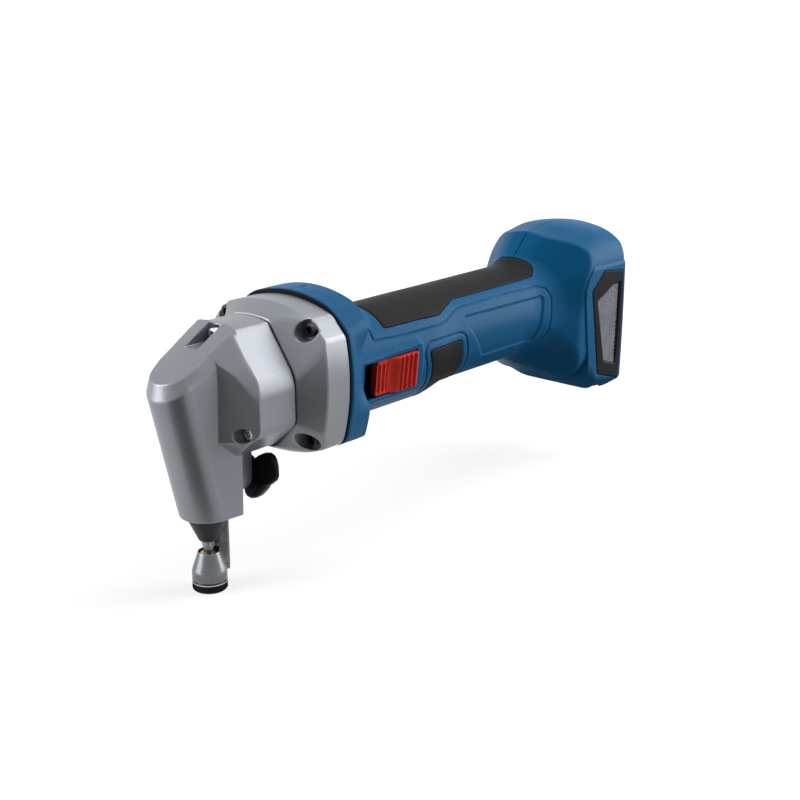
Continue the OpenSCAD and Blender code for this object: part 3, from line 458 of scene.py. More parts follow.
def bay_room(x, y, z):
    """Space that the battery slides up into, with rails left at its mouth."""
    wide = box(x, y, z, (286, -27, 0), (298.5, 27, 127), 0.4)
    return either(wide, box(x, y, z, (286, -23, 0), (320, 23, 127), 0.4))


# Along the handle, up, and the depth that each head sits on
HOUSING_SCREWS = (
    (132.5, 104.0, 18.6), (169.5, 75.95, 11.8), (206.5, 104.0, 18.6), (206.5, 75.95, 11.8),
    (274.0, 121.5, 25.6), (268.0, 56.0, 25.6),
)


def shell_shape(x, y, z):
    solid = solid_shape(x, y, z)
    a = np.abs(y)
    v = unrolled(y, z)
    on_handle = (x > 86) & (x < 246)
    face = solid + groove(path_gap(x, v, SEAM_LINE), 1.1, 0.65) * on_handle
    pad = pad_gap(x, y, z)
    face = face + groove(pad - 4.0, 1.1, 0.65) * on_handle
    label = outline(x, v, LABEL_EDGE, 2.0)
    face = face + 0.9 * ramp(1.0, -1.0, label)
    under = path_gap(x, v, [(186, 66), (205, 66), (222, 64)])
    face = face + groove(under, 2.2, 0.7) * on_handle
    body = np.maximum(face, -(solid + WALL))
    trough = both(solid + 0.6, box(x, y, z, (283, -29, 20), (310, 29, 129)))
    body = cut(either(body, trough), bay_room(x, y, z), 0.3)
    body = cut(body, box(x, y, z, (282, -18.5, 85), (287, 18.5, 111)))
    body = cut(body, about_axis(x, y, z, 57, 61.5, 31.5))
    body = cut(body, both(grip_gap(x, y, z) - 0.15, -(solid + 1.6)), 0.3)
    body = cut(body, both(pad - 0.15, -(solid + 1.6)), 0.3)
    side, up = switch_frame(y, z)
    body = cut(body, box(x, side, up, (78.3, -60, -9.8), (119.3, -19.5, 9.8), 0.6), 0.5)
    vent = both(outline(x, z, VENT_EDGE) - 0.12, np.maximum(-(solid + 2.4), 20 - a))
    body = cut(body, vent, 0.25)
    body = cut(body, both(outline(x, z, VENT_MOUTH), 29.5 - a))
    for at_x, at_z, head_y in HOUSING_SCREWS:
        gap = np.hypot(x - at_x, z - at_z)
        body = either(body, both(both(gap - 5.2, solid + 1.8), 0.3 - y))
        body = cut(body, both(gap - 3.2, head_y - y), 0.3)
    return body


def left_half(x, y, z):
    return both(shell_shape(x, y, z), y + 0.12, 0.25)


def right_half(x, y, z):
    return both(shell_shape(x, y, z), 0.12 - y, 0.25)


def grip_shape(x, y, z):
    solid = solid_shape(x, y, z)
    gap = grip_gap(x, y, z)
    raised = 0.25 + 0.5 * ramp(-4.6, -5.6, gap) - groove(gap + 4.6, 1.6, 0.9)
    return both(both(solid - raised, gap, 0.7), np.maximum(-(solid + 1.5), 70 - z), 0.2)


def pad_shape(x, y, z):
    solid = solid_shape(x, y, z)
    gap = pad_gap(x, y, z)
    return both(both(solid - 0.3, gap, 0.8), -(solid + 1.5), 0.2)


def vent_shape(x, y, z):
    solid = solid_shape(x, y, z)
    mouth = outline(x, z, VENT_MOUTH)
    dish = 0.9 * ramp(1.6, -0.2, mouth)
    surround = both(both(outline(x, z, VENT_EDGE), solid - 0.35 + dish, 0.7), -(solid + 2.2))
    return cut(surround, mouth, 0.2)


# Switch button, worked out in its own tilted directions


def switch_shape(x, y, z):
    side, up = switch_frame(y, z)
    out = -side
    top = 28.6 + 2.4 * ramp(95.5, 106, x)
    hollow = 0.5 * np.exp(-(((x - 99.5) / 3.2) ** 2)) * ramp(8.5, 4.0, np.abs(up))
    ribs = 0.5 * np.cos((x - 106.0) * 2 * np.pi / 3.5) * ramp(104.2, 105.2, x)
    low_ribs = 0.4 * np.cos((x - 91.7) * 2 * np.pi / 3.2)
    low_ribs = low_ribs * ramp(97.5, 96.5, x) * ramp(7.8, 7.0, np.abs(up))
    button = (out - top + hollow - ribs - low_ribs) * 0.75
    button = both(button, box(x, out, up, (89, 19.5, -9.3), (118.8, 40, 9.3), 1.0), 0.6)
    button = cut(button, box(x, out, up, (80, 10, -20), (95, 25.4, 20)), 0.3)
    plate = box(x, out, up, (93.5, 21.0, -9.4), (120.7, 23.0, 9.4), 0.4)
    return either(button, plate, 0.3)


# Clamp lever

LEVER_WING = [
    (-3, 57), (-8, 60.8), (-10.7, 63.0), (-13.5, 64.5), (-16.6, 65.1), (-18.8, 64.4), (-20.1, 62.6),
    (-20.9, 59.6), (-21.0, 54.8), (-20.2, 52.9), (-17.6, 50.8), (-6, 50.5),
]
LEVER_LOBE = [
    (-4, 52), (-16.6, 50.6), (-14.6, 47.6), (-12.4, 45.2), (-10.2, 43.0), (-8, 41.6), (-5.4, 40.8),
    (-3.2, 41.2), (-1.6, 43), (-1, 48),
]


def lever_shape(x, y, z):
    hub = np.hypot(y, z - LEVER_Z) - 7.9
    wing = outline(y, z, LEVER_WING, 0.5)
    lobe = outline(y, z, LEVER_LOBE, 0.5)
    rear = x - 27.75
    wing = both(both(wing, 23.6 - 0.08 * (y + 12) - x, 1.2), rear, 1.0)
    lobe = both(both(lobe, 22.0 - x, 2.6), rear, 1.2)
    lever = either(both(hub, np.maximum(22.35 - x, rear), 0.8), either(wing, lobe, 1.6), 1.0)
    return cut(lever, np.hypot(y, z - LEVER_Z) - 2.6, 0.3)


# Die end


def turned(x, y, z, profile):
    """A turned shape about the punch axis from its radius and height points."""
    return outline(np.hypot(x, y), z, profile)


def arm_bevel(x, y):
    """The broad bevels along the front edges of the arm that carries the die."""
    return 0.76 * (5.2 - x) + 0.65 * (np.abs(y) - 5.0) + 2.2


def carrier_shape(x, y, z):
    r = np.hypot(x, y)
    cup = both(both(r - 8.5, 5.3 - z, 0.3), 4.6 - z)
    cone = (r - 8.5 + 0.34 * (z - 9.8)) * 0.947
    cup = both(both(cup, cone, 0.25), z - 19.8, 0.5)
    cup = either(cup, both(r - 7.4, np.maximum(4.6 - z, z - 6.0)))
    arm = both(np.abs(y) - 5.0, np.maximum(5.2 - x, r - 10.4), 0.8)
    arm = both(arm, np.maximum(8.5 - z, z - 44.0), 0.6)
    arm = both(arm, 0.85 * (x - 10.4) - 0.53 * (z - 10.5), 0.6)
    arm = both(arm, arm_bevel(x, y), 0.4)
    carrier = either(cup, arm, 0.7)
    cheek = -0.62 * x + 0.78 * np.abs(y) + 0.1 * (z - 22) + 1.4
    lug = both(both(np.abs(y) - 5.0, r - 10.0), np.maximum(z - 22.5, 12 - z), 0.5)
    carrier = either(carrier, both(lug, cheek, 0.5), 0.5)
    carrier = cut(carrier, both(r - 4.1, 12 - z), 0.2)
    carrier = cut(carrier, both(r - 5.3 - 0.5 * (z - 19.8), np.maximum(18.0 - z, z - 20.4)))
    notch = both(np.hypot(y + 0.6, z - 18.6) - 1.7, 3 - x)
    carrier = cut(carrier, both(notch, x - 9.4), 0.3)
    slit = box(x, y, z, (4, -0.4, 18), (7.4, 1.7, 34))
    ring = both(r - 10.4, np.maximum(44 - z, z - 59))
    carrier = either(cut(carrier, slit, 0.2), ring)
    carrier = cut(carrier, both(r - 8.1, COLUMN_FOOT - z))
    return cut(carrier, both(r - 6.1, z - 12.1))


def guide_shape(x, y, z):
    profile = [(2.45, 25.2), (4.3, 25.2), (4.7, 25.7), (10.2, 37.6), (10.2, 40.1), (2.45, 40.1)]
    cone = turned(x, y, z, profile)
    cone = cut(cone, box(x, y, z, (2.6, -2.6, 24), (5.4, -1.2, 27.6), 0.3), 0.2)
    return cut(cone, both(box(x, y, z, (5.0, -5.3, 24), (12, 5.3, 42)), arm_bevel(x, y) - 0.2), 0.1)


def sleeve_shape(x, y, z):
    tube = turned(x, y, z, [(2.45, 22.0), (2.9, 22.0), (3.1, 22.3), (3.1, 26.5), (2.45, 26.5)])
    return cut(tube, box(x, y, z, (-0.25, -4, 21), (0.25, -2, 25.2)), 0.05)


# Finishes

# How far the tool lines of machined metal are drawn out along each axis
NO_LINES, LINES_X, LINES_Y, LINES_Z = (1, 1, 1), (60, 1, 1), (1, 60, 1), (1, 1, 60)


class Finish:
    """A node material on Object coordinates, with a few calls that read like a recipe."""

    def __init__(self, name, specular, metallic=0.0):
        self.material = bpy.data.materials.new(name)
        self.material.use_nodes = True
        self.tree = self.material.node_tree
        self.shader = self.tree.nodes["Principled BSDF"]
        self.shader.inputs["Metallic"].default_value = metallic
        self.shader.inputs["Specular IOR Level"].default_value = specular
        self.where = self.tree.nodes.new("ShaderNodeTexCoord").outputs["Object"]

    def add(self, kind, **values):
        node = self.tree.nodes.new(kind)
        for key, value in values.items():
            setattr(node, key, value)
        return node

    def link(self, out, to):
        self.tree.links.new(out, to)

    def noise(self, scale, detail, stretch=NO_LINES):
        at = self.where
        if stretch != NO_LINES:
            mapping = self.add("ShaderNodeMapping")
            mapping.inputs["Scale"].default_value = stretch
            self.link(at, mapping.inputs["Vector"])
            at = mapping.outputs["Vector"]
        node = self.add("ShaderNodeTexNoise")
        node.inputs["Scale"].default_value = scale
        node.inputs["Detail"].default_value = detail
        self.link(at, node.inputs["Vector"])
        return node.outputs["Fac"]

    def cells(self, scale):
        node = self.add("ShaderNodeTexVoronoi")
        node.inputs["Scale"].default_value = scale
        self.link(self.where, node.inputs["Vector"])
        return node.outputs["Distance"]

    def blend(self, amount, first, second):
        """Colour between two, each a colour or another node's output."""
        node = self.add("ShaderNodeMix", data_type="RGBA")
        for socket, value in ((node.inputs[6], first), (node.inputs[7], second)):
            if isinstance(value, tuple):
                socket.default_value = (*value, 1.0)
            else:
                self.link(value, socket)
        self.link(amount, node.inputs[0])
        return node.outputs[2]

    def span(self, value, low, high, start=0.3, end=0.7):
        node = self.add("ShaderNodeMapRange")
        for key, number in (("From Min", start), ("From Max", end), ("To Min", low), ("To Max", high)):
            node.inputs[key].default_value = number
        self.link(value, node.inputs["Value"])
        return node.outputs["Result"]

    def reckon(self, operation, a, b):
        """What comes of two values, each a number or another node's output."""
        node = self.add("ShaderNodeMath", operation=operation)
        for socket, value in zip(node.inputs, (a, b)):
            if isinstance(value, float):
                socket.default_value = value
            else:
                self.link(value, socket)
        return node.outputs[0]

    def times(self, a, b):
        return self.reckon("MULTIPLY", a, b)

    def minus(self, a, b):
        return self.reckon("SUBTRACT", a, b)

    def edge(self):
        """How sharp an outer edge is, as moulded works it out."""
        return self.add("ShaderNodeAttribute", attribute_name="edge").outputs["Fac"]

    def bump(self, height, distance, strength):
        node = self.add("ShaderNodeBump")
        node.inputs["Distance"].default_value = distance
        node.inputs["Strength"].default_value = strength
        self.link(height, node.inputs["Height"])
        self.link(node.outputs["Normal"], self.shader.inputs["Normal"])

    def colour(self, out):
        self.link(out, self.shader.inputs["Base Color"])

    def roughness(self, out):
        self.link(out, self.shader.inputs["Roughness"])


def cast_metal(name, base, pale, edge_highlight_colour, rough, metallic):
    """Die-cast metal: fine skin, faint flow marks, outer edges made smoother and painted paler as a highlight."""
    f = Finish(name, 0.3, metallic)
    skin = f.noise(1500, 2.0)
    flow = f.noise(45, 4.0, (1, 1, 0.5))
    colour = f.blend(f.span(flow, 0.0, 1.0), base, pale)
    # Outer edges painted paler as a highlight, and made smoother
    edge_highlight_and_polish = f.times(f.edge(), f.span(f.noise(260, 3.0), 0.02, 0.22))
    f.colour(f.blend(edge_highlight_and_polish, colour, edge_highlight_colour))
    f.roughness(f.minus(f.span(skin, rough - 0.05, rough + 0.07), f.times(edge_highlight_and_polish, 0.14)))
    f.bump(skin, 0.00008, 0.5)
    return f.material


def moulded_plastic(name, base, deep, edge_highlight_colour, rough, shine=0.07, spark=900, grain=0.00007):
    """Moulded plastic with a fine spark-eroded skin; outer edges slightly smoother and painted paler as a
    highlight.
    """
    f = Finish(name, shine)
    skin = f.cells(spark)
    cloud = f.noise(32, 3.0)
    colour = f.blend(f.span(cloud, 0.0, 1.0), base, deep)
    # Outer edges painted paler as a highlight, and made smoother
    edge_highlight_and_polish = f.times(f.edge(), f.span(f.noise(300, 3.0), 0.02, 0.2))
    f.colour(f.blend(edge_highlight_and_polish, colour, edge_highlight_colour))
    f.roughness(f.minus(f.span(f.noise(420, 3.0), rough - 0.04, rough + 0.06), f.times(edge_highlight_and_polish, 0.08)))
    f.bump(skin, grain, 0.55)
    return f.material


def soft_rubber(name, base, dust, rough):
    """Soft moulded rubber: dense pimples and a trace of dust."""
    f = Finish(name, 0.05)
    film = f.noise(70, 5.0)
    f.colour(f.blend(f.span(film, 0.0, 0.7, 0.42, 0.75), base, dust))
    f.roughness(f.span(film, rough - 0.05, rough + 0.08))
    f.bump(f.cells(1100), 0.00012, 0.6)
    return f.material


def turned_steel(name, base, dark, rough, stretch=LINES_Z, metallic=1.0, shine=0.5):
    """Machined metal with fine tool lines, faint stains and a painted highlight on outer edges."""
    f = Finish(name, shine, metallic)
    lines = f.noise(220, 2.0, stretch)
    stain = f.noise(120, 4.0)
    colour = f.blend(f.span(stain, 0.0, 0.8, 0.4, 0.75), base, dark)
    # Outer edges painted lighter: a painted highlight
    bright = tuple(min(1.0, c * 1.5 + 0.05) for c in base)
    f.colour(f.blend(f.times(f.edge(), 0.2), colour, bright))
    f.roughness(f.span(lines, rough - 0.04, rough + 0.08))
    f.bump(lines, 0.00002, 0.35)
    return f.material


# Colours from plain to stained, some with a paler painted edge highlight, then roughness and what differs from the
# usual
RECIPES = {
    cast_metal: {
        "cast_aluminium": ((0.225, 0.238, 0.262), (0.245, 0.258, 0.282), (0.46, 0.475, 0.5), 0.36, 0.5),
    },
    moulded_plastic: {
        "blue_plastic": ((0.002, 0.085, 0.205), (0.001, 0.074, 0.18), (0.02, 0.15, 0.3), 0.42),
        "vent_plastic": ((0.009, 0.009, 0.01), (0.007, 0.007, 0.008), (0.03, 0.03, 0.032), 0.45, 0.05),
        "terminal_plastic": ((0.014, 0.014, 0.015), (0.01, 0.01, 0.011), (0.03, 0.03, 0.03), 0.5),
        "red_plastic": ((0.62, 0.036, 0.024), (0.54, 0.027, 0.018), (0.75, 0.1, 0.07), 0.36),
        "lever_black": (
            (0.01, 0.01, 0.011), (0.007, 0.007, 0.008), (0.035, 0.035, 0.037), 0.3, 0.07, 1600, 0.00001),
    },
    soft_rubber: {
        "soft_grip_rubber": ((0.011, 0.011, 0.012), (0.018, 0.018, 0.019), 0.5),
        "seal_rubber": ((0.008, 0.008, 0.009), (0.014, 0.014, 0.015), 0.6),
        "lead_insulation": ((0.42, 0.4, 0.05), (0.3, 0.28, 0.04), 0.5),
    },
    turned_steel: {
        "vent_mesh_steel": ((0.3, 0.32, 0.35), (0.22, 0.235, 0.26), 0.38, NO_LINES, 0.8),
        "bright_screw_steel": ((0.4, 0.41, 0.43), (0.28, 0.29, 0.3), 0.3, NO_LINES),
        "black_screw_steel": ((0.035, 0.035, 0.037), (0.02, 0.02, 0.022), 0.36, NO_LINES),
        "plain_steel": ((0.2, 0.205, 0.215), (0.14, 0.145, 0.155), 0.3),
        "core_steel": ((0.2, 0.2, 0.21), (0.13, 0.13, 0.14), 0.45, LINES_X),
        "gear_steel": ((0.36, 0.36, 0.37), (0.24, 0.24, 0.25), 0.35, LINES_X),
        "coil_copper": ((0.55, 0.24, 0.11), (0.36, 0.14, 0.06), 0.36, LINES_X),
        "bush_bronze": ((0.52, 0.33, 0.14), (0.36, 0.21, 0.08), 0.36),
        "tool_steel": ((0.5, 0.31, 0.14), (0.36, 0.2, 0.08), 0.24),
        "guide_steel": ((0.03, 0.031, 0.034), (0.022, 0.022, 0.025), 0.46, LINES_Z, 0.3, 0.2),
        "holder_steel": ((0.15, 0.156, 0.17), (0.115, 0.12, 0.132), 0.3, LINES_Z, 0.75),
        "nut_black": ((0.006, 0.006, 0.006), (0.004, 0.004, 0.004), 0.42, LINES_Z, 0.0, 0.15),
        "lever_shaft_steel": ((0.42, 0.43, 0.45), (0.3, 0.31, 0.33), 0.34, LINES_X),
        "contact_metal": ((0.78, 0.6, 0.28), (0.6, 0.43, 0.18), 0.3, LINES_Y),
    },
}
finishes = {name: maker(name, *recipe) for maker, kinds in RECIPES.items() for name, recipe in kinds.items()}


# Repeated pieces, made by geometry nodes

SHARP_ANGLE = math.radians(35)


def ring_faces(rings, count, closed):
    """Faces between rings of points, and from the last ring to the first if closed."""
    faces = []
    for ring in range(rings if closed else rings - 1):
        base, beyond = ring * count, (ring + 1) % rings * count
        for i in range(count):
            j = (i + 1) % count
            faces.append((base + i, base + j, beyond + j, beyond + i))
    return faces


def lathe_rings(rings, count=48, bored=False):
    """Points and faces of rings round X, each a station and a radius, bored through or closed."""
    angle = np.arange(count) * 2 * np.pi / count
    points = []
    for station, radius in rings:
        r = radius(angle) if callable(radius) else np.full(count, float(radius))
        points += list(zip(np.full(count, float(station)), r * np.cos(angle), r * np.sin(angle)))
    faces = ring_faces(len(rings), count, bored)
    if not bored:
        first, last, end = len(points), len(points) + 1, (len(rings) - 1) * count
        points += [(rings[0][0], 0.0, 0.0), (rings[-1][0], 0.0, 0.0)]
        faces += [(first, (i + 1) % count, i) for i in range(count)]
        faces += [(last, end + i, end + (i + 1) % count) for i in range(count)]
    return np.array(points), faces


def hex_radius(across):
    def radius(angle):
        return across * math.cos(math.pi / 6) / np.cos((angle % (math.pi / 3)) - math.pi / 6)
    return radius


def plain_piece(name, points, faces):
    mesh = mesh_from(name, points, faces)
    mesh.set_sharp_from_angle(angle=SHARP_ANGLE)
    return placed(name, mesh)


def screw_pattern(name, head_r, head_h, shank_r, length, socket_r):
    """A socket-head screw along X, its head's face at zero."""
    key = hex_radius(socket_r)
    rim = hex_radius(socket_r * 1.09)
    rings = [
        (2.0, key), (0.25, key), (0.0, rim), (0.0, head_r - 0.5), (0.15, head_r - 0.17), (0.5, head_r),
        (head_h, head_r), (head_h, shank_r), (length - 0.6, shank_r), (length, shank_r - 0.6),
    ]
    return plain_piece(name, *lathe_rings(rings))


class Maker:
    """A geometry tree with named inputs, ending in real geometry with a finish."""

    def __init__(self, name, **inputs):
        self.tree = bpy.data.node_groups.new(name, "GeometryNodeTree")
        new_socket = self.tree.interface.new_socket
        for way in ("INPUT", "OUTPUT"):
            new_socket("Geometry", in_out=way, socket_type="NodeSocketGeometry")
        self.names = {}
        for label, kind in (*inputs.items(), ("Finish", "Material")):
            self.names[label] = new_socket(label, in_out="INPUT", socket_type="NodeSocket" + kind).identifier
        self.given = self.tree.nodes.new("NodeGroupInput").outputs

    def add(self, kind, **links):
        """A new node, with other nodes' outputs linked to its inputs."""
        node = self.tree.nodes.new(kind)
        for label, out in links.items():
            self.tree.links.new(out, node.inputs[label])
        return node

    def copies(self, points, rotation):
        """The pattern that is given, copied on points."""
        pattern = self.add("GeometryNodeObjectInfo", Object=self.given["Pattern"]).outputs["Geometry"]
        copies = self.add("GeometryNodeInstanceOnPoints", Points=points, Instance=pattern, Rotation=rotation)
        return copies.outputs["Instances"]

    def ended(self, out):
        real = self.add("GeometryNodeRealizeInstances", Geometry=out).outputs["Geometry"]
        painted = self.add("GeometryNodeSetMaterial", Geometry=real, Material=self.given["Finish"])
        self.add("NodeGroupOutput", Geometry=painted.outputs["Geometry"])
        return self

    def run(self, holder, name, **values):
        """A plain mesh object from what the tree makes of a holder, which goes."""
        modifier = holder.modifiers.new("make", "NODES")
        modifier.node_group = self.tree
        for label, value in values.items():
            modifier[self.names[label]] = value
        bpy.context.view_layer.update()
        mesh = worked_out(holder)
        mesh.name = name
        bpy.data.objects.remove(holder)
        return placed(name, mesh)


def copies_maker():
    """Copies of one pattern on points, all turned the same way."""
    maker = Maker("copies", Pattern="Object", Turn="Vector")
    return maker.ended(maker.copies(maker.given["Geometry"], maker.given["Turn"]))


def knurl_maker():
    """Ribs round a rim: one pattern copied on a circle and turned to face out."""
    maker = Maker("knurl", Pattern="Object", Count="Int", Radius="Float")
    given = maker.given
    circle = maker.add("GeometryNodeMeshCircle", Vertices=given["Count"], Radius=given["Radius"])
    place = maker.add("GeometryNodeInputPosition").outputs["Position"]
    facing = maker.add("FunctionNodeAlignRotationToVector", Vector=place)
    facing.axis, facing.pivot_axis = "X", "Z"
    copies = maker.copies(circle.outputs["Mesh"], facing.outputs["Rotation"])
    joined = maker.add("GeometryNodeJoinGeometry", Geometry=copies)
    maker.tree.links.new(given["Geometry"], joined.inputs["Geometry"])
    return maker.ended(joined.outputs["Geometry"])


def wire_maker():
    """Round wires along lines of points."""
    maker = Maker("wires", Radius="Float", Sides="Int")
    given = maker.given
    curve = maker.add("GeometryNodeMeshToCurve", Mesh=given["Geometry"]).outputs["Curve"]
    section = maker.add("GeometryNodeCurvePrimitiveCircle", Radius=given["Radius"], Resolution=given["Sides"])
    tube = maker.add("GeometryNodeCurveToMesh", Curve=curve, **{"Profile Curve": section.outputs["Curve"]})
    tube.inputs["Fill Caps"].default_value = True
    return maker.ended(tube.outputs["Mesh"])


COPIES, KNURL, WIRES = copies_maker(), knurl_maker(), wire_maker()


def screws(name, pattern, places, turn, finish):
    holder = plain_piece(name + "_places", np.array(places, float), [])
    made = COPIES.run(holder, name, Pattern=pattern, Turn=turn, Finish=finishes[finish])
    made.data.shade_smooth()
    made.data.set_sharp_from_angle(angle=SHARP_ANGLE)
    bpy.data.objects.remove(pattern)
    return made


NUT_R = 8.25
NUT_RIBS = 72


def die_nut():
    rings = [
        (0.3, 3.6), (0.0, 3.9), (0.0, 7.5), (0.15, 7.9), (0.5, 8.2), (0.8, NUT_R), (3.7, NUT_R), (3.9, 8.15),
        (4.0, 8.0), (4.0, 5.6), (7.5, 5.6), (7.5, 3.6),
    ]
    points, faces = lathe_rings(rings, NUT_RIBS, bored=True)
    body = plain_piece("nut_turning", points[:, [1, 2, 0]], faces)
    rib = [
        (-0.2, -0.33, 0.6), (-0.2, 0.33, 0.6), (0.25, 0.0, 0.9),
        (-0.2, -0.33, 3.8), (-0.2, 0.33, 3.8), (0.25, 0.0, 3.6),
    ]
    rib_faces = [(2, 1, 0), (4, 5, 3), (3, 5, 2, 0), (2, 5, 4, 1), (1, 4, 3, 0)]
    rib_piece = plain_piece("nut_rib", rib, rib_faces)
    made = KNURL.run(
        body, "die_nut_knurled", Pattern=rib_piece, Count=NUT_RIBS, Radius=NUT_R * MM, Finish=finishes["nut_black"])
    bpy.data.objects.remove(rib_piece)
    return made


MESH_PITCH = 1.25
MESH_TURNS = (58.0, -32.0)
MESH_Y = 35.7
MESH_GROWN = 1.06
MOST_WIRES = 40
WIRE_R = 0.2
WIRE_SIDES = 6


def clipped(origin, along, corners):
    """Where a line runs inside a convex outline, as two lengths along it."""
    low, high = -1e9, 1e9
    middle = np.mean(corners, axis=0)
    for p, q in zip(corners, corners[1:] + corners[:1]):
        normal = np.array([q[1] - p[1], p[0] - q[0]], float)
        if normal @ (middle - p) > 0:
            normal = -normal
        rate, start = normal @ along, normal @ (origin - p)
        if abs(rate) < 1e-9:
            if start > 0:
                return None
        elif rate > 0:
            high = min(high, -start / rate)
        else:
            low = max(low, -start / rate)
    return (low, high) if high - low > 0.6 else None


def vent_mesh(name, side):
    """Woven wire cloth behind a vent's mouth, running on the slant."""
    centre = np.mean(VENT_MOUTH, axis=0)
    grown = [tuple(centre + (np.array(c) - centre) * MESH_GROWN) for c in VENT_MOUTH]
    points, edges = [], []
    for family, degrees in enumerate(MESH_TURNS):
        turn = math.radians(degrees)
        along = np.array([math.cos(turn), math.sin(turn)])
        across = np.array([-math.sin(turn), math.cos(turn)])
        for k in range(-MOST_WIRES, MOST_WIRES + 1):
            origin = centre + across * k * MESH_PITCH
            run = clipped(origin, along, grown)
            if run is None:
                continue
            first = math.ceil(run[0] / MESH_PITCH * 2)
            last = math.floor(run[1] / MESH_PITCH * 2)
            for m in range(first, last + 1):
                at = origin + along * m * MESH_PITCH * 0.5
                over = WIRE_R * 0.95 * math.cos(math.pi * (m * 0.5 + k + family))
                if m > first:
                    edges.append((len(points) - 1, len(points)))
                points.append((at[0], side * (MESH_Y + over), at[1]))
    mesh = bpy.data.meshes.new(name)
    mesh.from_pydata((np.array(points) * MM).tolist(), edges, [])
    holder = placed(name + "_lines", mesh)
    made = WIRES.run(holder, name, Radius=WIRE_R * MM, Sides=WIRE_SIDES, Finish=finishes["vent_mesh_steel"])
    made.data.shade_smooth()
    return made


def seal_plate(name, edge_of, x0, x1, hole, inset):
    """A flat seal whose edge, found by halving, follows an outline; a round hole on the motor axis."""
    count, halvings = 180, 30
    angle = np.arange(count) * 2 * np.pi / count
    near, far = np.full(count, 10.0), np.full(count, 60.0)
    for _ in range(halvings):
        mid = (near + far) / 2
        inside = edge_of(np.abs(mid * np.sin(angle)), AXIS_Z + mid * np.cos(angle)) + inset < 0
        near, far = np.where(inside, mid, near), np.where(inside, far, mid)
    points = []
    for x, r in ((x0, near), (x1, near), (x1, np.full(count, hole)), (x0, np.full(count, hole))):
        points += list(zip(np.full(count, x), r * np.sin(angle), AXIS_Z + r * np.cos(angle)))
    return plain_piece(name, points, [face[::-1] for face in ring_faces(4, count, True)])


# Every piece, with the node it stands for


def fitted(piece, body, node, slot):
    """Gives a piece its finish, its body and the node it stands for, if any."""
    if not piece.data.materials or piece.data.materials[0] is None:
        piece.data.materials.clear()
        piece.data.materials.append(finishes[slot])
    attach(piece, body)
    if node:
        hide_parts(node)


# Name, shape, two corners that hold it, mesh step, body, node and finish
MOULDED = (
    ("head_cast", head_shape, (-32, -31, 37), (32, 31, 131), 0.55, "tool", "head_casting", "cast_aluminium"),
    ("gear_case_cast", case_shape, (31, -42, 58), (58, 42, 136), 0.55, "tool", "gear_case", "cast_aluminium"),
    ("housing_left_half", left_half, (57, -42, 34), (303, 0, 145), 0.6, "tool", "housing_left", "blue_plastic"),
    ("housing_right_half", right_half, (57, 0, 34), (303, 42, 145), 0.6, "tool", "housing_right", "blue_plastic"),
    ("grip_top", grip_shape, (100, -26, 84), (247, 26, 142), 0.5, "tool", "top_grip", "soft_grip_rubber"),
    ("pad_finger", pad_shape, (130, -31, 62), (166, 31, 100), 0.5, "tool", "finger_pad", "soft_grip_rubber"),
    ("vent_surround_left", vent_shape, (265, -39, 43), (302, -33, 118), 0.4,
     "tool", "vent_frame_left", "vent_plastic"),
    ("vent_surround_right", vent_shape, (265, 33, 43), (302, 39, 118), 0.4,
     "tool", "vent_frame_right", "vent_plastic"),
    ("switch_slider", switch_shape, (86, -34, 78), (122, -16, 104), 0.25, "switch", "switch_button", "red_plastic"),
    ("lever_wing", lever_shape, (21, -25, 38), (30, 10, 69), 0.3, "clamp", "clamp_lever", "lever_black"),
    ("die_holder", carrier_shape, (-12, -12, 3), (12, 12, 60), 0.3, "die_assembly", "die_carrier", "holder_steel"),
    ("guide_cone", guide_shape, (-12, -12, 21), (12, 12, 42), 0.3, "die_assembly", "punch_guide", "guide_steel"),
    ("guide_sleeve", sleeve_shape, (-4, -4, 20), (4, 4, 28), 0.12, "die_assembly", None, "plain_steel"),
)
for name, shape, low, high, step, body, node, slot in MOULDED:
    fitted(moulded(name, shape, low, high, step), body, node, slot)
fitted(die_nut(), "die_assembly", "die_nut", "nut_black")
fitted(vent_mesh("vent_cloth_left", -1), "tool", "vent_mesh_left", "vent_mesh_steel")
fitted(vent_mesh("vent_cloth_right", 1), "tool", "vent_mesh_right", "vent_mesh_steel")
seal = seal_plate("head_seal", flange_outline, FLANGE_REAR, CASE_FRONT, 16.0, 0.2)
fitted(seal, "tool", "head_gasket", "seal_rubber")
seal = seal_plate("case_seal", collar_outline, CASE_REAR, COLLAR_FRONT, 31.5, 0.4)
fitted(seal, "tool", "case_gasket", "seal_rubber")

SCREW_HEAD = 2.4
ALONG_X, ALONG_Y = (0, 0, 0), (0, 0, -math.pi / 2)
head_places = [(at, sign * side, up) for side, up, at in HEAD_SCREWS for sign in ((-1, 1) if side else (1,))]
case_places = [(CASE_SCREW_FACE, sign * side, up) for sign in (-1, 1) for side, up in CASE_SCREWS]
housing_places = [(at, depth + SCREW_HEAD, up) for at, up, depth in HOUSING_SCREWS]
# Name, sizes as screw_pattern takes them, places, turn and finish
SCREW_SETS = (
    ("head_screw", (3.0, 4.1, 1.95, 28.8, 1.6), head_places, ALONG_X, "bright_screw_steel"),
    ("case_screw", (3.4, SCREW_HEAD, 1.95, 25.1, 1.75), case_places, ALONG_X, "black_screw_steel"),
    ("housing_screw", (2.9, SCREW_HEAD, 1.6, 20.0, 1.5), housing_places, ALONG_Y, "black_screw_steel"),
)
for name, sizes, places, turn, slot in SCREW_SETS:
    made = screws(name + "_set", screw_pattern(name, *sizes), places, turn, slot)
    fitted(made, "tool", name + "s", slot)

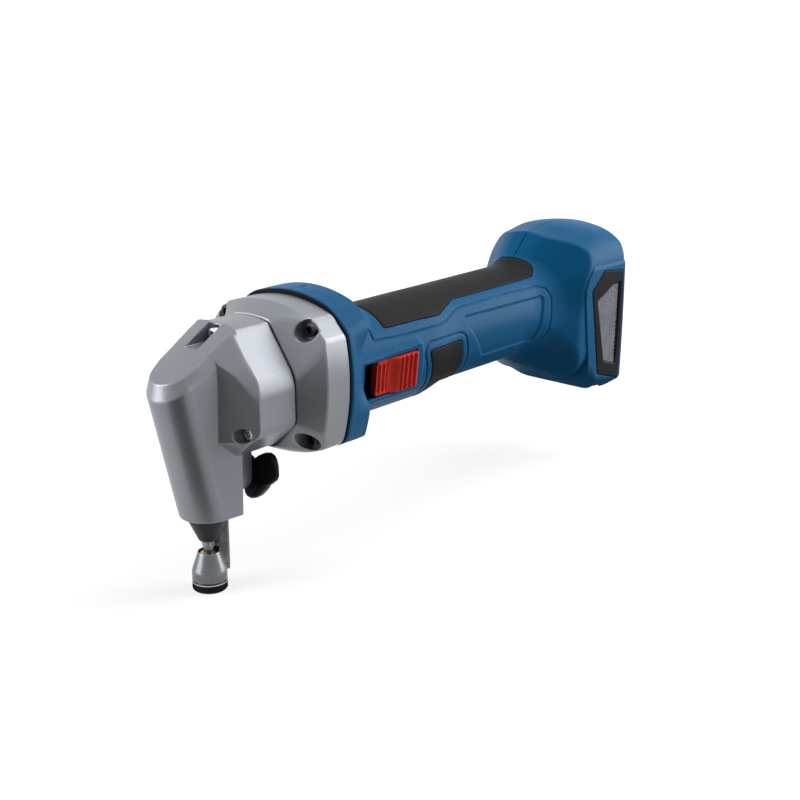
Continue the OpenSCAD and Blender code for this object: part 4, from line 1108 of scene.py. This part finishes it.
CAD_FINISH = {
    "plain_steel": ["switch_rod", "rotor_shaft", "motor_front_bearing", "motor_rear_bearing", "crank_bearing",
                    "punch", "punch_screw", "lever_screw", "crank_roller", "planet_pins"],
    "core_steel": ["stator", "rotor_magnets"],
    "coil_copper": ["stator_coils"],
    "gear_steel": ["sun_pinion", "planet_gear_1", "planet_gear_2", "planet_gear_3", "ring_gear",
                   "crank_carrier", "ram"],
    "bush_bronze": ["crank_bush", "ram_bush"],
    "bright_screw_steel": ["nut_washer"],
    "tool_steel": ["die_insert"],
    "seal_rubber": ["crank_seal"],
    "terminal_plastic": ["terminal_block", "control_module", "micro_switch", "fan", "motor_bracket"],
    "contact_metal": ["terminal_blades"],
    "lead_insulation": ["battery_leads", "motor_leads"],
    "lever_shaft_steel": ["lever_shaft"],
    "cast_aluminium": ["bearing_bridge"],
}
for slot, names in CAD_FINISH.items():
    for name in names:
        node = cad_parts[name]
        if not node.material_slots:
            node.data.materials.append(finishes[slot])
        for place in node.material_slots:
            place.material = finishes[slot]


# Stage, light and camera


def aimed(obj, along):
    """Turns a lamp or the camera to look along a direction."""
    obj.rotation_mode = "QUATERNION"
    obj.rotation_quaternion = along.to_track_quat("-Z", "Y")


def eye_rays(f):
    """1 for the camera's rays and for mirrored and refracted ones, 0 for light falling on things."""
    path = f.add("ShaderNodeLightPath").outputs
    out = path["Is Camera Ray"]
    for other in ("Is Glossy Ray", "Is Transmission Ray"):
        out = f.reckon("MAXIMUM", out, path[other])
    return out


class Sky(Finish):
    """The world's nodes, with the same calls for adding and linking."""

    def __init__(self, name):
        scene.world = bpy.data.worlds.new(name)
        scene.world.use_nodes = True
        self.tree = scene.world.node_tree


sky = Sky("studio")
fill, white = sky.tree.nodes["Background"], sky.add("ShaderNodeBackground")
fill.inputs["Color"].default_value = (0.94, 0.97, 1.0, 1)
fill.inputs["Strength"].default_value = 0.1
white.inputs["Color"].default_value = (1, 1, 1, 1)
seen = sky.add("ShaderNodeMixShader")
for out, socket in zip((eye_rays(sky), fill.outputs[0], white.outputs[0]), seen.inputs):
    sky.link(out, socket)
sky.link(seen.outputs[0], sky.tree.nodes["World Output"].inputs["Surface"])

MIDDLE = Vector((0.12, 0.0, 0.09))


def softbox(name, place, size, watts):
    """A white rectangular lamp that looks at the object's middle."""
    lamp = bpy.data.lights.new(name, "AREA")
    lamp.shape = "RECTANGLE"
    lamp.size, lamp.size_y = size
    lamp.energy = watts
    made = placed(name, lamp)
    made.location = place
    aimed(made, MIDDLE - made.location)


softbox("top_box", (0.5, -0.12, 1.05), (0.8, 0.7), 7)
softbox("left_strip", (-0.7, 0.45, 0.35), (0.6, 1.0), 11)
softbox("right_strip", (1.15, -0.66, 0.48), (0.8, 1.1), 20)


def sheets(name, corners, material):
    """Flat sheets on the ground, four corners each, in one piece."""
    mesh = bpy.data.meshes.new(name)
    faces = np.arange(len(corners)).reshape(-1, 4).tolist()
    mesh.from_pydata([(x, y, 0) for x, y in corners], [], faces)
    mesh.materials.append(material)
    return placed(name, mesh)


def floor_paper():
    """Pale paper: plain where the object's shadow falls, going over to white further out."""
    f = Finish("floor_paper", 0.0)
    paper = f.shader.inputs
    paper["Base Color"].default_value = (0.3, 0.3, 0.3, 1)
    paper["Roughness"].default_value = 0.9
    paper["Emission Color"].default_value = (1, 1, 1, 1)
    away = f.add("ShaderNodeVectorMath", operation="DISTANCE")
    away.inputs[1].default_value = (0.14, 0.0, 0.0)
    f.link(f.where, away.inputs[0])
    glow = f.span(away.outputs["Value"], 0.74, 1.0, 0.2, 1.0)
    glow.node.interpolation_type = "SMOOTHSTEP"
    f.link(f.times(eye_rays(f), glow), paper["Emission Strength"])
    return f.material


FLOOR_HALF = 12.0
floor_corners = [(x * FLOOR_HALF, y * FLOOR_HALF) for x, y in ((-1, -1), (1, -1), (1, 1), (-1, 1))]
floor = sheets("floor", floor_corners, floor_paper())
floor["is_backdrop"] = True

AZIMUTH, ELEVATION = math.radians(-49.106), math.radians(17.317)
camera = placed("camera", bpy.data.cameras.new("camera"))
camera.location = Vector((-422.07, -486.44, 293.45)) * MM
level = math.cos(ELEVATION)
back = Vector((math.sin(AZIMUTH) * level, -math.cos(AZIMUTH) * level, math.sin(ELEVATION)))
aimed(camera, -back)
camera.data.lens = 64.96
camera.data.sensor_width = 36.0
camera.data.clip_start, camera.data.clip_end = 0.01, 50.0
scene.camera = camera
scene.view_settings.view_transform = "Standard"

# Black cards on the ground before and below the object, seen only in what mirrors them:
# they make the dark streaks in the metal
velvet = Finish("black_velvet", 0.5)
velvet.shader.inputs["Base Color"].default_value = (0.03, 0.03, 0.03, 1)
velvet.shader.inputs["Roughness"].default_value = 1.0
before_head = [(-1.77, -0.31), (-0.37, -1.76), (-0.015, -0.068), (-0.069, -0.012)]
before_foot = [(0.42, -0.9), (1.1, -0.9), (0.95, -0.14), (0.3, -0.14)]
below_foot = [(0.24, -0.07), (0.37, -0.07), (0.37, 0.07), (0.24, 0.07)]
card = sheets("black_card", before_head + before_foot + below_foot, velvet.material)
card.location = (0, 0, 0.002)
card.visible_camera = card.visible_diffuse = card.visible_shadow = False
card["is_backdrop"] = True

low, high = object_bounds()
